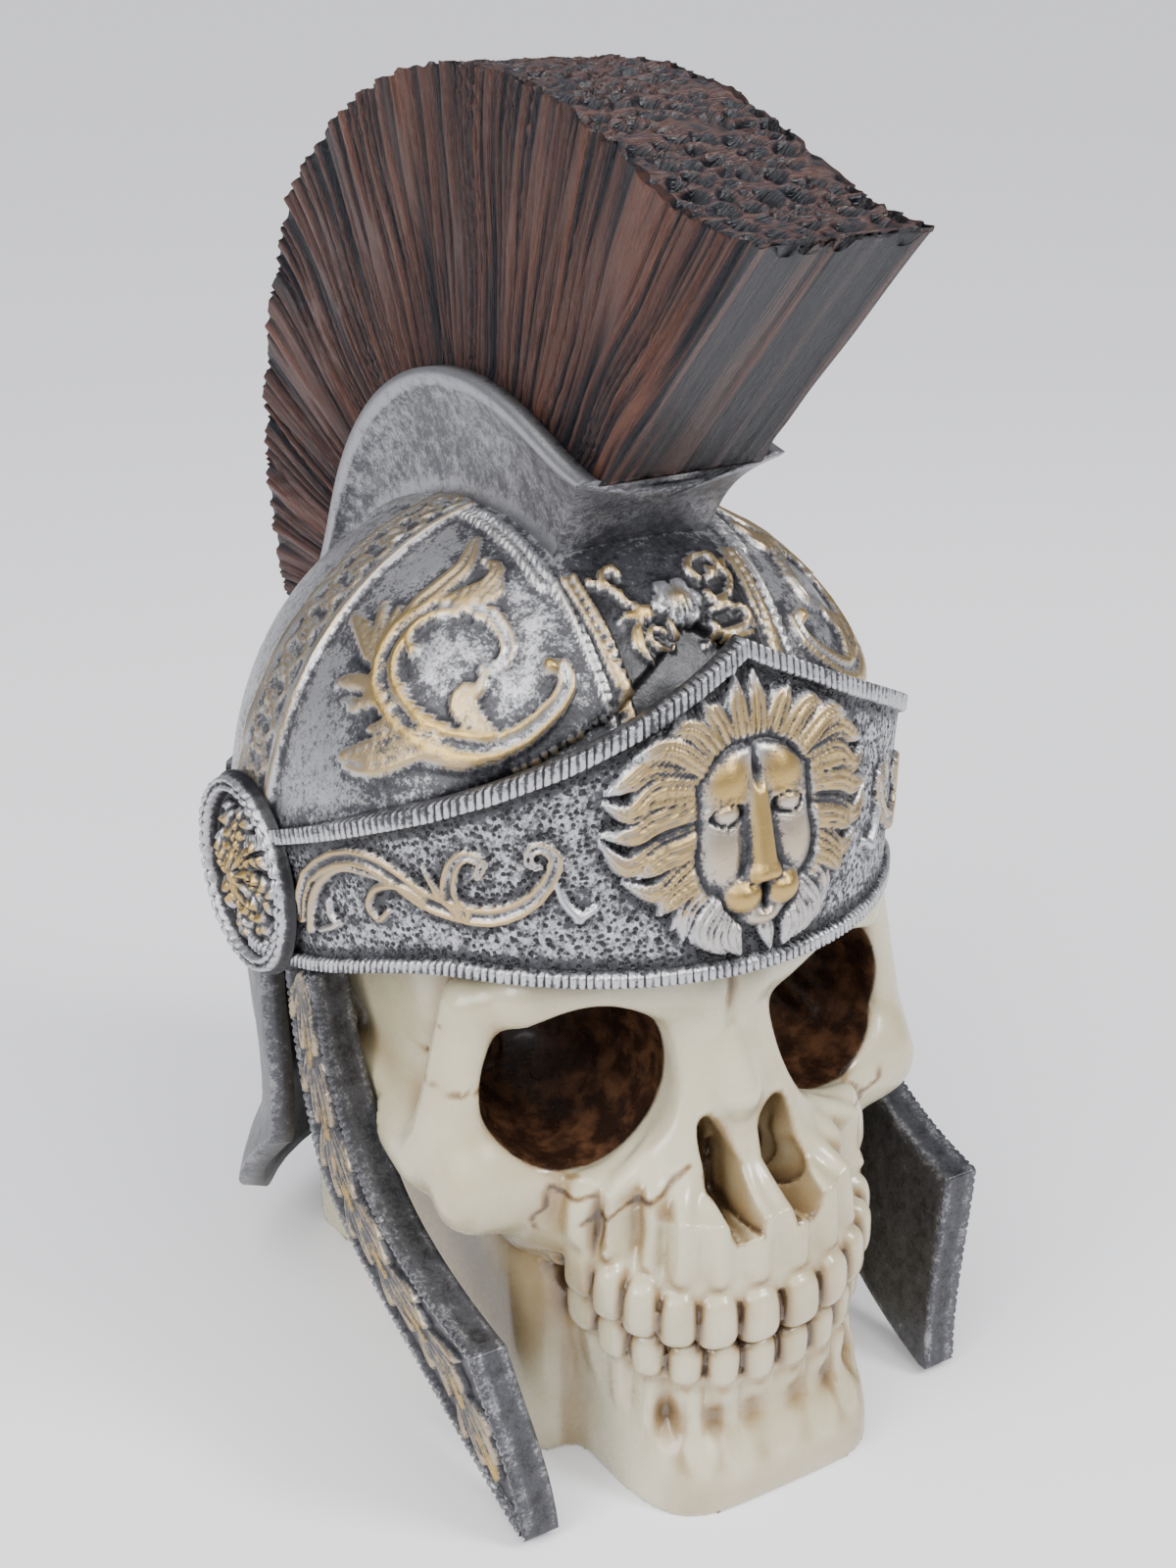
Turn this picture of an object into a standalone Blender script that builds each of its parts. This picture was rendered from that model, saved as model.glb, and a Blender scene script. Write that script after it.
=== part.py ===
"""Helmeted skull figurine: a cast skull in a crested parade helmet, in metres, +Z up.

The face looks along -Y. The helmet is laid out round an upright axis through HELMET_Y, and every form is
worked out in millimetres from the sizes below, then placed in metres.
"""

import math

import bmesh
import bpy
import numpy as np
from mathutils import Vector

MM = 0.001
FIT_GAP = 0.3  # between two castings that meet
HELMET_Y = -3.4  # the helmet's own upright axis, set so that the crest's two ends are centred on the origin

# Dome of the helmet
DOME_CENTRE = (0.0, -4.0, 112.0)
DOME_HALF_WIDTH = 66.5
DOME_FRONT = 64.0
DOME_BACK = 76.0
DOME_RISE = 75.0
DOME_FULLNESS = 2.2  # 2 is an ellipsoid, and more is squarer
WALL = 5.0

# Brow band, a flared plate that rises to a point over the forehead
BAND_HALF_WIDTH = 65.0
BAND_DEPTH = 75.0
BAND_PEAK_Z = 172.1
BAND_FALL_PER_DEGREE = 0.505
BAND_LOW_FRONT_Z = 111.0
BAND_LOW_SIDE_Z = 99.0
BAND_BACK_Z = 122.0
BAND_PEAK_SCALE = 0.867
BAND_SIDE_SCALE = 1.035
BAND_THICKNESS = 4.0
RIM_PROUD = 1.5
RIM_TOP_HEIGHT = 3.8
RIM_LOW_HEIGHT = 2.8

# Neck guard, which hangs behind the ears and flares at its foot
NECK_FOOT_Z = 14.0
NECK_FLARE = 5.0
NECK_START_DEGREES = 99.5

# Crest and its holder, both fans about one centre
FAN_CENTRE_Z = 150.0
FAN_FRONT_DEGREES = -43.5
FAN_BACK_DEGREES = 95.0
LIP_RADIUS = 61.0
LIP_FRONT_RADIUS = 68.0
LIP_HALF_WIDTH = 22.3
LIP_THICKNESS = 2.6
HOLDER_HALF_WIDTH = 17.6
SLOT_DEPTH = 3.0
CREST_HALF_WIDTH = 18.6
CREST_RADIUS = 117.5
CREST_FRONT_RADIUS = 131.5
CREST_BACK_RADIUS = 93.0
FLUTE_DEPTH = 1.1
FLUTES = 22

# Ear bosses
BOSS_Y = 8.0
BOSS_Z = 114.0
BOSS_RADIUS = 21.0
BOSS_OUT = 69.5
BOSS_PETALS = 8

# Cheek guards
GUARD_TOP_Z = BAND_LOW_SIDE_Z - FIT_GAP
GUARD_TIP = (-76.0, 2.0)
GUARD_KINK = (-70.5, 44.0)
GUARD_TOP_X = 63.5
GUARD_TIP_X = 54.0
GUARD_THICKNESS = 8.0
GUARD_RIM_WIDTH = 2.4
GUARD_RIM_DEPTH = 1.2
BOSS_IN = GUARD_TOP_X + 2.0 * FIT_GAP

# Relief on the dome and band
STRAP_X = 19.3
STRAP_WIDTH = 4.6
STRAP_PROUD = 1.6
EAR_STRAP_FRONT_Y = 7.0
EAR_STRAP_WIDTH = 18.0
LION_Z = 139.0
LION_RADIUS = 17.0
MANE_LOCKS = 13
SCROLL_RADIUS = 1.9

# Skull
TEETH_UPPER_Z = 40.0
TEETH_LOWER_Z = 29.3
TEETH_TILT = 0.38  # the tooth rows rise to the back, because the face looks up
UPPER_TEETH = ((5.0, 9.3), (14.2, 8.6), (22.3, 8.2), (29.8, 7.6), (36.6, 7.4), (43.5, 8.4))
LOWER_TEETH = ((4.2, 7.8), (12.0, 7.6), (19.6, 7.6), (27.2, 7.4), (34.6, 7.6))
SKULL_CLEARANCE = 1.4
SKULL_SEGMENTS = 46
SKULL_RINGS = 36

BONE = ((0.80, 0.74, 0.58, 1.0), 0.35, 0.0)
SILVER = ((0.45, 0.45, 0.46, 1.0), 0.38, 0.75)
BRISTLE = ((0.10, 0.045, 0.032, 1.0), 0.42, 0.0)
GUARD_SILVER = ((0.16, 0.165, 0.18, 1.0), 0.45, 0.6)


def clear_scene():
    for obj in list(bpy.data.objects):
        bpy.data.objects.remove(obj, do_unlink=True)


def make_material(name, finish):
    colour, roughness, metallic = finish
    material = bpy.data.materials.new(name)
    material.use_nodes = True
    shader = material.node_tree.nodes["Principled BSDF"]
    shader.inputs["Base Color"].default_value = colour
    shader.inputs["Roughness"].default_value = roughness
    shader.inputs["Metallic"].default_value = metallic
    return material


def make_collection(name, parent):
    collection = bpy.data.collections.new(name)
    parent.children.link(collection)
    return collection


def add_object(name, mesh, collection):
    obj = bpy.data.objects.new(name, mesh)
    collection.objects.link(obj)
    return obj


def smooth_step(low, high, value):
    t = np.clip((value - low) / (high - low), 0.0, 1.0)
    return t * t * (3.0 - 2.0 * t)


def placed(points):
    """Millimetres about the helmet's axis to metres about the origin."""
    return (np.asarray(points, float) + (0.0, HELMET_Y, 0.0)) * MM


def add_body(name, body, collection):
    """An object from an evenly wound bmesh, in triangles and right side out."""
    bmesh.ops.triangulate(body, faces=body.faces)
    if body.calc_volume(signed=True) < 0.0:
        bmesh.ops.reverse_faces(body, faces=body.faces)
    mesh = bpy.data.meshes.new(name)
    body.to_mesh(mesh)
    body.free()
    return add_object(name, mesh, collection)


def wrapped_sphere(name, collection, segments, rings, surface):
    """A UV sphere whose points are moved to surface(turn, fall): turn runs 0 to 1 once round from the
    front, and fall runs 0 to 1 from the top pole to the bottom pole."""
    body = bmesh.new()
    bmesh.ops.create_uvsphere(body, u_segments=segments, v_segments=rings, radius=1.0)
    unit = np.array([v.co for v in body.verts])
    turn = np.round((np.arctan2(unit[:, 0], -unit[:, 1]) / math.tau) * segments) / segments
    fall = np.round(np.arccos(np.clip(unit[:, 2], -1.0, 1.0)) / math.pi * rings) / rings
    for vertex, point in zip(body.verts, placed(surface(turn, fall))):
        vertex.co = Vector(point)
    return add_body(name, body, collection)


def loft(name, collection, sections):
    """A solid through closed sections of equal point counts, capped at both ends."""
    body = bmesh.new()
    rows = [[body.verts.new(Vector(p)) for p in placed(section)] for section in sections]
    count = len(rows[0])
    for low, high in zip(rows, rows[1:]):
        for i in range(count):
            j = (i + 1) % count
            body.faces.new((low[i], low[j], high[j], high[i]))
    body.faces.new(list(reversed(rows[0])))
    body.faces.new(rows[-1])
    return add_body(name, body, collection)


def tube(name, collection, points, radii):
    """A round bar along points, made as a bevelled curve and turned into a mesh."""
    curve = bpy.data.curves.new(name, "CURVE")
    curve.dimensions = "3D"
    curve.bevel_depth = MM
    curve.bevel_resolution = 0
    curve.use_fill_caps = True
    spline = curve.splines.new("POLY")
    spline.points.add(len(points) - 1)
    for node, point, radius in zip(spline.points, placed(points), radii):
        node.co = (*point, 1.0)
        node.radius = radius
    guide = add_object(name + "_path", curve, collection)
    bpy.context.view_layer.update()
    evaluated = guide.evaluated_get(bpy.context.evaluated_depsgraph_get())
    body = bmesh.new()
    body.from_mesh(evaluated.to_mesh())
    bmesh.ops.remove_doubles(body, verts=body.verts, dist=1e-6)
    bpy.data.objects.remove(guide, do_unlink=True)
    return add_body(name, body, collection)


def pebble(name, collection, centre, radii, axes=None, segments=8, rings=5):
    """An ellipsoid with its own three axes, from a UV sphere primitive."""
    body = bmesh.new()
    bmesh.ops.create_uvsphere(body, u_segments=segments, v_segments=rings, radius=1.0)
    frame = np.eye(3) if axes is None else np.asarray(axes, float)
    local = np.array([v.co for v in body.verts]) * np.asarray(radii)
    for vertex, point in zip(body.verts, placed(local @ frame + np.asarray(centre))):
        vertex.co = Vector(point)
    return add_body(name, body, collection)


def join_with(target, pieces):
    """Unites target with each piece, in order."""
    for piece in pieces:
        modifier = target.modifiers.new(piece.name, "BOOLEAN")
        modifier.operation = "UNION"
        modifier.solver = "EXACT"
        modifier.object = piece
        piece.hide_render = True
        piece.display_type = "WIRE"


def dome_scale(across, along, up):
    """How far a direction, given in shares of the dome's half sizes, has to go to meet the dome."""
    n = DOME_FULLNESS
    return (np.abs(across) ** n + np.abs(along) ** n + np.abs(up) ** n) ** (-1.0 / n)


def dome_from(direction, out=0.0):
    """The dome's surface along a direction from its centre, moved out by a height."""
    d = np.asarray(direction, float)
    depth = np.where(d[..., 1] < 0.0, DOME_FRONT, DOME_BACK)
    half = np.stack([np.full_like(depth, DOME_HALF_WIDTH), depth, np.full_like(depth, DOME_RISE)], -1)
    share = d / half
    reach = dome_scale(share[..., 0], share[..., 1], share[..., 2])
    point = d * reach[..., None]
    length = np.linalg.norm(point, axis=-1, keepdims=True)
    return np.asarray(DOME_CENTRE) + point * (1.0 + np.asarray(out)[..., None] / length)


def dome_at(x, y, out=0.0):
    """The dome's surface straight above a place in plan, moved out by a height."""
    x, y = np.broadcast_arrays(np.asarray(x, float), np.asarray(y, float))
    dy = y - DOME_CENTRE[1]
    depth = np.where(dy < 0.0, DOME_FRONT, DOME_BACK)
    n = DOME_FULLNESS
    left = 1.0 - np.abs(x / DOME_HALF_WIDTH) ** n - np.abs(dy / depth) ** n
    rise = DOME_RISE * np.clip(left, 0.0, 1.0) ** (1.0 / n)
    return dome_from(np.stack([x, dy, rise], -1), out)


def band_top_z(angle):
    """Height of the brow band's top edge: a straight fall to each side of the peak."""
    degrees = np.abs(np.degrees(angle))
    return np.maximum(BAND_PEAK_Z - BAND_FALL_PER_DEGREE * degrees, BAND_BACK_Z)


def band_low_z(angle):
    """Height of the band's lower edge, arched over the brow."""
    degrees = np.abs(np.degrees(angle))
    return BAND_LOW_FRONT_Z - (BAND_LOW_FRONT_Z - BAND_LOW_SIDE_Z) * smooth_step(48.0, 92.0, degrees)


def band_top_scale(angle):
    degrees = np.abs(np.degrees(angle))
    return BAND_PEAK_SCALE + (BAND_SIDE_SCALE - BAND_PEAK_SCALE) * np.sin(
        np.radians(90.0) * np.clip(degrees / 62.0, 0.0, 1.0)
    )


def band_point(angle, share, out=0.0):
    """The band's outer face: share 0 is its lower edge and 1 its top edge."""
    angle, share = np.broadcast_arrays(np.asarray(angle, float), np.asarray(share, float))
    low, top = band_low_z(angle), band_top_z(angle)
    scale = 1.0 + (band_top_scale(angle) - 1.0) * share**1.3
    x = (BAND_HALF_WIDTH * scale + out) * np.sin(angle)
    y = -(BAND_DEPTH * scale + out) * np.cos(angle)
    return np.stack([x, y, low + (top - low) * share], -1)


def neck_foot_z(angle):
    """Lower edge of the shell: the band's own edge in front, and the neck guard's foot behind."""
    degrees = np.abs(np.degrees(angle))
    drop = smooth_step(NECK_START_DEGREES, NECK_START_DEGREES + 8.0, degrees) * 0.62
    drop += smooth_step(NECK_START_DEGREES + 4.0, NECK_START_DEGREES + 34.0, degrees) * 0.38
    return band_low_z(angle) * (1.0 - drop) + NECK_FOOT_Z * drop


def ledge_rows(angle):
    """Where the band's top ledge meets the dome: the dome's own height a little below the band's top."""
    return band_top_z(angle) - 4.0


def plan(angle, half_width, front, back, scale):
    """A point of an oval plan, deeper behind than in front."""
    depth = np.where(np.cos(angle) > 0.0, front, back)
    return half_width * scale * np.sin(angle), -depth * scale * np.cos(angle)


def dome_ring(angle, z, inset=0.0):
    """The dome's outline at a height, as x and y."""
    n = DOME_FULLNESS
    rise = np.clip((z - DOME_CENTRE[2]) / (DOME_RISE - inset), -1.0, 1.0)
    scale = np.where(rise > 0.0, (1.0 - np.abs(rise) ** n) ** (1.0 / n), 1.0)
    x, y = plan(angle, DOME_HALF_WIDTH - inset, DOME_FRONT - inset, DOME_BACK - inset, 1.0)
    ring = ((np.abs(np.sin(angle))) ** n + np.abs(np.cos(angle)) ** n) ** (-1.0 / n)
    return x * ring * scale, y * ring * scale + DOME_CENTRE[1]


def neck_flare(z):
    """How far the neck guard stands out past the dome's widest outline."""
    return NECK_FLARE * smooth_step(44.0, 20.0, z) - 2.0 * smooth_step(95.0, 55.0, z) * (
        1.0 - smooth_step(50.0, 30.0, z)
    )


def away_from_axis(points):
    """Level unit vectors from the dome's upright axis to each point."""
    away = points - np.asarray(DOME_CENTRE)
    away[:, 2] = 0.0
    return away / np.linalg.norm(away, axis=1, keepdims=True)


def wall_point(angle, z, out):
    """A point of the dome's or neck's upright wall, moved out level by a distance."""
    flat = np.stack([*dome_ring(angle, z), z], -1)
    return flat + away_from_axis(flat) * np.asarray(out)[..., None]


def neck_point(angle, z, inset):
    """A point of the neck guard, inset from its outer face."""
    widest = np.stack([*dome_ring(angle, np.minimum(z, DOME_CENTRE[2])), z], -1)
    return widest + away_from_axis(widest) * (neck_flare(z) - inset)[:, None]


def band_face(angle, share, out):
    """The raised band all round: the flared plate in front of the ears and a low fillet behind them."""
    mix = smooth_step(84.0, 96.0, np.abs(np.degrees(angle)))[:, None]
    low, top = band_low_z(angle), band_top_z(angle)
    fillet = wall_point(angle, low + (top - low) * share, out + FILLET_PROUD * np.ones_like(angle))
    return band_point(angle, share, out) * (1.0 - mix) + fillet * mix


def helmet_rows(angle):
    """The helmet's section at each angle, from the top pole down the outside, round the lower edge and up
    the inside, as a list of rows of points."""
    ones = np.ones_like(angle)
    top, low, foot = band_top_z(angle), band_low_z(angle), neck_foot_z(angle)
    rows = []
    seated = smooth_step(SEAT_START_DEGREES, SEAT_END_DEGREES, np.abs(np.degrees(angle)))
    ledge_z = top - LEDGE_DROP * (1.0 - 0.9 * seated)
    power = DOME_FULLNESS / 2.0
    end = np.arccos(np.clip((ledge_z - DOME_CENTRE[2]) / DOME_RISE, 0.0, 1.0) ** power)
    for step in range(DOME_ROWS + 1):
        z = DOME_CENTRE[2] + DOME_RISE * np.cos(end * step / DOME_ROWS) ** (1.0 / power)
        rows.append(np.stack([*dome_ring(angle, z), z], -1))
    back_top = wall_point(angle, top, 0.3 * ones)
    seated = seated[:, None]
    rows.append(band_face(angle, ones, RIM_PROUD - BAND_THICKNESS) * (1.0 - seated) + back_top * seated)
    top_share = 1.0 - RIM_TOP_HEIGHT / (top - low)
    low_share = RIM_LOW_HEIGHT / (top - low)
    rows.append(band_face(angle, ones, RIM_PROUD))
    rows.append(band_face(angle, top_share, RIM_PROUD))
    rows.append(band_face(angle, top_share - RIM_STEP, 0.0))
    for share in (0.68, 0.36):
        rows.append(band_face(angle, share * ones, 0.0))
    rows.append(band_face(angle, low_share + RIM_STEP, 0.0))
    rows.append(band_face(angle, low_share, RIM_PROUD))
    rows.append(band_face(angle, 0.0 * ones, RIM_PROUD))
    edge_out = band_face(angle, 0.0 * ones, 0.0)
    edge_in = wall_point(angle, low, -WALL * ones)
    degrees = np.abs(np.degrees(angle))
    neck = smooth_step(NECK_START_DEGREES - 1.0, NECK_START_DEGREES + 1.0, degrees)[:, None]
    under = low - FIT_GAP
    for inset, start, finish, near in ((0.8, under, foot, 0.0), (0.8 + WALL, foot, under, 0.58)):
        for step in range(1, NECK_ROWS + 1):
            share = step / NECK_ROWS
            hanging = neck_point(angle, start + (finish - start) * share, inset * ones)
            brow = edge_out + (edge_in - edge_out) * (near + share * 0.42)
            rows.append(brow * (1.0 - neck) + hanging * neck)
    for step in range(1, CAVITY_ROWS + 1):
        polar = math.pi / 2.0 * (1.0 - step / CAVITY_ROWS)
        z = DOME_CENTRE[2] + (DOME_RISE - WALL) * np.cos(polar * ones) ** (1.0 / power)
        rows.append(np.stack([*dome_ring(angle, z, WALL), z], -1))
    return rows


def helmet_surface(turn, fall):
    """The whole shell, outside and inside, as one closed surface."""
    angle = np.where(turn > 0.5, turn - 1.0, turn) * math.tau
    rows = np.array(helmet_rows(angle - EAR_SPREAD * np.sin(2.0 * angle)))
    index = np.round(fall * (len(rows) - 1)).astype(int)
    return rows[index, np.arange(len(angle))]


DOME_ROWS = 8
NECK_ROWS = 5
CAVITY_ROWS = 6
HELMET_RINGS = DOME_ROWS + 8 + 2 * NECK_ROWS + CAVITY_ROWS
HELMET_SEGMENTS = 42
EAR_SPREAD = 0.06
FILLET_PROUD = 1.0
LEDGE_DROP = 4.0
SEAT_START_DEGREES = 52.0
SEAT_END_DEGREES = 72.0
RIM_STEP = 0.015


def fan_point(degrees, radius, x):
    """A point of the fan that the crest and its holder share: degrees behind the vertical."""
    a = np.radians(degrees)
    return np.stack(np.broadcast_arrays(x, radius * np.sin(a), FAN_CENTRE_Z + radius * np.cos(a)), -1)


def dome_radius(degrees):
    """How far the dome's ridge lies from the fan's centre."""
    a = math.radians(degrees)
    low, high = 0.0, 160.0
    for _ in range(40):
        middle = (low + high) / 2.0
        y, z = middle * math.sin(a) - DOME_CENTRE[1], FAN_CENTRE_Z + middle * math.cos(a) - DOME_CENTRE[2]
        depth = DOME_FRONT if y < 0.0 else DOME_BACK
        inside = abs(y / depth) ** DOME_FULLNESS + abs(z / DOME_RISE) ** DOME_FULLNESS < 1.0
        low, high = (middle, high) if inside else (low, middle)
    return low


def lip_radius(degrees):
    """The holder's lip: an arc, flared up at the front and kept clear of the dome behind."""
    flared = LIP_RADIUS + (LIP_FRONT_RADIUS - LIP_RADIUS) * math.exp(-(degrees - FAN_FRONT_DEGREES) / 9.0)
    clear = dome_radius(degrees) + LIP_CLEAR_OF_DOME
    return (flared + clear + math.hypot(flared - clear, LIP_BLEND)) / 2.0


def crest_radius(degrees):
    """The crest's outline: an arc with a raised front corner, falling away down the back."""
    corner = (CREST_FRONT_RADIUS - CREST_RADIUS) * math.exp(-(degrees - FAN_FRONT_DEGREES) / 7.0)
    fall = max(degrees - 42.0, 0.0) / (FAN_BACK_DEGREES - 42.0)
    return CREST_RADIUS + corner - (CREST_RADIUS - CREST_BACK_RADIUS) * fall


LIP_CLEAR_OF_DOME = 4.5
LIP_BLEND = 4.0
HOLDER_STATIONS = FLUTES
HOLDER_SINK = 4.4
COVE = ((0.0, 0.0, -3.5), (0.3, 0.6, 1.0), (0.6, 1.7, 2.0), (0.85, 3.4, 0.5))


def make_holder(collection):
    """The coved holder, a loft along the fan with a slot in its top for the crest."""
    sections = []
    for station in range(HOLDER_STATIONS + 1):
        share = station / HOLDER_STATIONS
        degrees = FAN_FRONT_DEGREES + (FAN_BACK_DEGREES - FAN_FRONT_DEGREES) * share
        lip = lip_radius(degrees)
        base = dome_radius(degrees) - HOLDER_SINK
        side = []
        for height, spread, lean in COVE:
            radius = base + (lip - LIP_THICKNESS - base) * height
            turned = degrees + (lean if station == 0 else 0.0)
            side.append((turned, radius, HOLDER_HALF_WIDTH + spread))
        side.append((degrees, lip - LIP_THICKNESS, LIP_HALF_WIDTH))
        side.append((degrees, lip, LIP_HALF_WIDTH))
        side.append((degrees, lip, CREST_HALF_WIDTH + FIT_GAP))
        side.append((degrees, lip - SLOT_DEPTH, CREST_HALF_WIDTH + FIT_GAP))
        mirrored = [(d, r, -x) for d, r, x in reversed(side)]
        sections.append([fan_point(*corner) for corner in side + mirrored])
    return loft("crest_holder", collection, sections)


def make_crest(collection):
    """The bristle crest: a fluted fan whose foot stands in the holder's slot."""
    sections = []
    for station in range(2 * FLUTES + 1):
        share = station / (2 * FLUTES)
        degrees = FAN_FRONT_DEGREES + (FAN_BACK_DEGREES - FAN_FRONT_DEGREES) * share
        groove = FLUTE_DEPTH * (station % 2)
        foot, top = lip_radius(degrees) - SLOT_DEPTH + 2.0 * FIT_GAP, crest_radius(degrees)
        clear = lip_radius(degrees) + FIT_GAP
        half = CREST_HALF_WIDTH
        side = (
            (foot, half - 0.4),
            (clear, half - 0.4 - groove * 0.4),
            (clear + (top - clear) * 0.5, half - groove),
            (top - groove, half + 0.6 - groove),
        )
        corners = [fan_point(degrees, r, x) for r, x in side]
        corners.append(fan_point(degrees, top - 1.6 + groove, 0.0))
        corners += [fan_point(degrees, r, -x) for r, x in reversed(side)]
        sections.append(corners)
    return loft("crest", collection, sections)


def bezier(start, bend, finish, share):
    return (1.0 - share) ** 2 * start + 2.0 * share * (1.0 - share) * bend + share**2 * finish


def guard_edges(share):
    """The cheek guard's back and front edges in y and z, at shares of the way from its top to its tip."""
    share = np.atleast_1d(share)[:, None]
    tip, kink = np.array(GUARD_TIP), np.array(GUARD_KINK)
    back = bezier(np.array([1.2, GUARD_TOP_Z]), np.array([-5.0, 26.0]), tip + (2.0, 0.0), share)
    upper = bezier(np.array([-12.0, GUARD_TOP_Z]), np.array([-21.0, 52.0]), kink, share / GUARD_KNEE)
    lower = kink + (tip - kink) * (share - GUARD_KNEE) / (1.0 - GUARD_KNEE)
    return back, np.where(share <= GUARD_KNEE, upper, lower)


GUARD_KNEE = 0.72
GUARD_STATIONS = 14


def make_guard(name, collection, side):
    """A cheek guard: a thick plate with a raised rim, swept forward to a point and leaning inwards."""
    sections = []
    for station in range(GUARD_STATIONS + 1):
        share = station / GUARD_STATIONS
        back, front = (edge[0] for edge in guard_edges(share))
        across = front - back
        width = np.linalg.norm(across)
        unit = across / width
        rim = min(GUARD_RIM_WIDTH, width * 0.3)

        def corner(along, depth):
            y, z = back + unit * along
            lean = (1.0 - smooth_step(0.0, 60.0, z)) * (GUARD_TOP_X - GUARD_TIP_X)
            return (side * (GUARD_TOP_X - lean - depth), y, z)

        section = [
            corner(0.0, GUARD_THICKNESS),
            corner(0.0, 0.0),
            corner(rim, 0.0),
            corner(rim + 0.4, GUARD_RIM_DEPTH),
            corner(width - rim - 0.4, GUARD_RIM_DEPTH),
            corner(width - rim, 0.0),
            corner(width, 0.0),
            corner(width, GUARD_THICKNESS),
        ]
        sections.append(section)
    return loft(name, collection, sections)


def strap(name, collection, path, width, proud, sink=2.0):
    """A flat strap that follows the dome: path is a list of dome points, and each section is a rectangle
    across it, from sink under the surface to proud over it."""
    path = np.asarray(path)
    middle = np.asarray(DOME_CENTRE)
    sections = []
    for i, point in enumerate(path):
        ahead = path[min(i + 1, len(path) - 1)] - path[max(i - 1, 0)]
        up = point - middle
        up /= np.linalg.norm(up)
        across = np.cross(ahead, up)
        across /= np.linalg.norm(across)
        half = across * width / 2.0
        sections.append([point - half - up * sink, point + half - up * sink,
                         point + half + up * proud, point - half + up * proud])
    return loft(name, collection, sections)


def dome_path(start, finish, steps):
    """Points on the dome above a straight line in plan."""
    share = np.linspace(0.0, 1.0, steps)[:, None]
    plan_points = np.asarray(start) * (1.0 - share) + np.asarray(finish) * share
    return dome_at(plan_points[:, 0], plan_points[:, 1])


def dome_direction(azimuth, elevation):
    """The dome's surface by azimuth from the front and elevation, in degrees."""
    a, e = np.radians(azimuth), np.radians(elevation)
    return np.stack([np.sin(a) * np.cos(e), -np.cos(a) * np.cos(e), np.sin(e)], -1)


def make_straps(collection):
    """The front panel's straps, the edging along the holder and the wide strap from ear to ear."""
    made = []
    edge = HOLDER_HALF_WIDTH + 2.2
    for side, label in ((-1.0, "right"), (1.0, "left")):
        x = side * STRAP_X
        made.append(strap("panel_strap_" + label, collection, dome_path((x, -57.0), (x, -35.0), 4),
                          STRAP_WIDTH, STRAP_PROUD))
        along = dome_path((side * edge, -34.0), (side * edge, 58.0), 9)
        made.append(strap("holder_edging_" + label, collection, along, 3.4, 1.3))
        middle = EAR_STRAP_FRONT_Y + EAR_STRAP_WIDTH / 2.0
        down = [dome_direction(side * 90.0, e) for e in np.linspace(72.0, 16.0, 9)]
        points = [dome_from(d * 100.0 + (0.0, middle - DOME_CENTRE[1] + 1.0, 0.0)) for d in down]
        made.append(strap("ear_strap_" + label, collection, points, EAR_STRAP_WIDTH, 1.4))
    return made


def make_boss(collection, side, label):
    """An ear boss: a disc with a rim and a flower in relief, facing outwards."""
    made = []
    turned = ((0.0, BOSS_OUT - 2.2), (14.5, BOSS_OUT - 2.2), (16.0, BOSS_OUT), (19.5, BOSS_OUT),
              (BOSS_RADIUS, BOSS_OUT - 2.0), (BOSS_RADIUS, BOSS_IN + 1.0), (17.0, BOSS_IN))
    sections = []
    for radius, out in reversed(turned[1:]):
        ring = []
        for step in range(20):
            a = math.tau * step / 20
            ring.append((side * out, BOSS_Y + radius * math.cos(a), BOSS_Z + radius * math.sin(a)))
        sections.append(ring)
    made.append(loft("boss_disc_" + label, collection, sections))
    for petal in range(BOSS_PETALS):
        a = math.tau * (petal + 0.5) / BOSS_PETALS
        out = np.array([0.0, math.cos(a), math.sin(a)])
        centre = np.array([side * (BOSS_OUT - 1.9), BOSS_Y, BOSS_Z]) + out * 8.6
        axes = (out, np.cross((side, 0.0, 0.0), out), (side, 0.0, 0.0))
        name = f"boss_petal_{label}_{petal}"
        made.append(pebble(name, collection, centre, (5.4, 3.0, 2.9), axes, 8, 4))
    made.append(pebble("boss_centre_" + label, collection, (side * (BOSS_OUT - 1.0), BOSS_Y, BOSS_Z),
                       (3.3, 4.7, 4.7), None, 10, 7))
    return made


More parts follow.
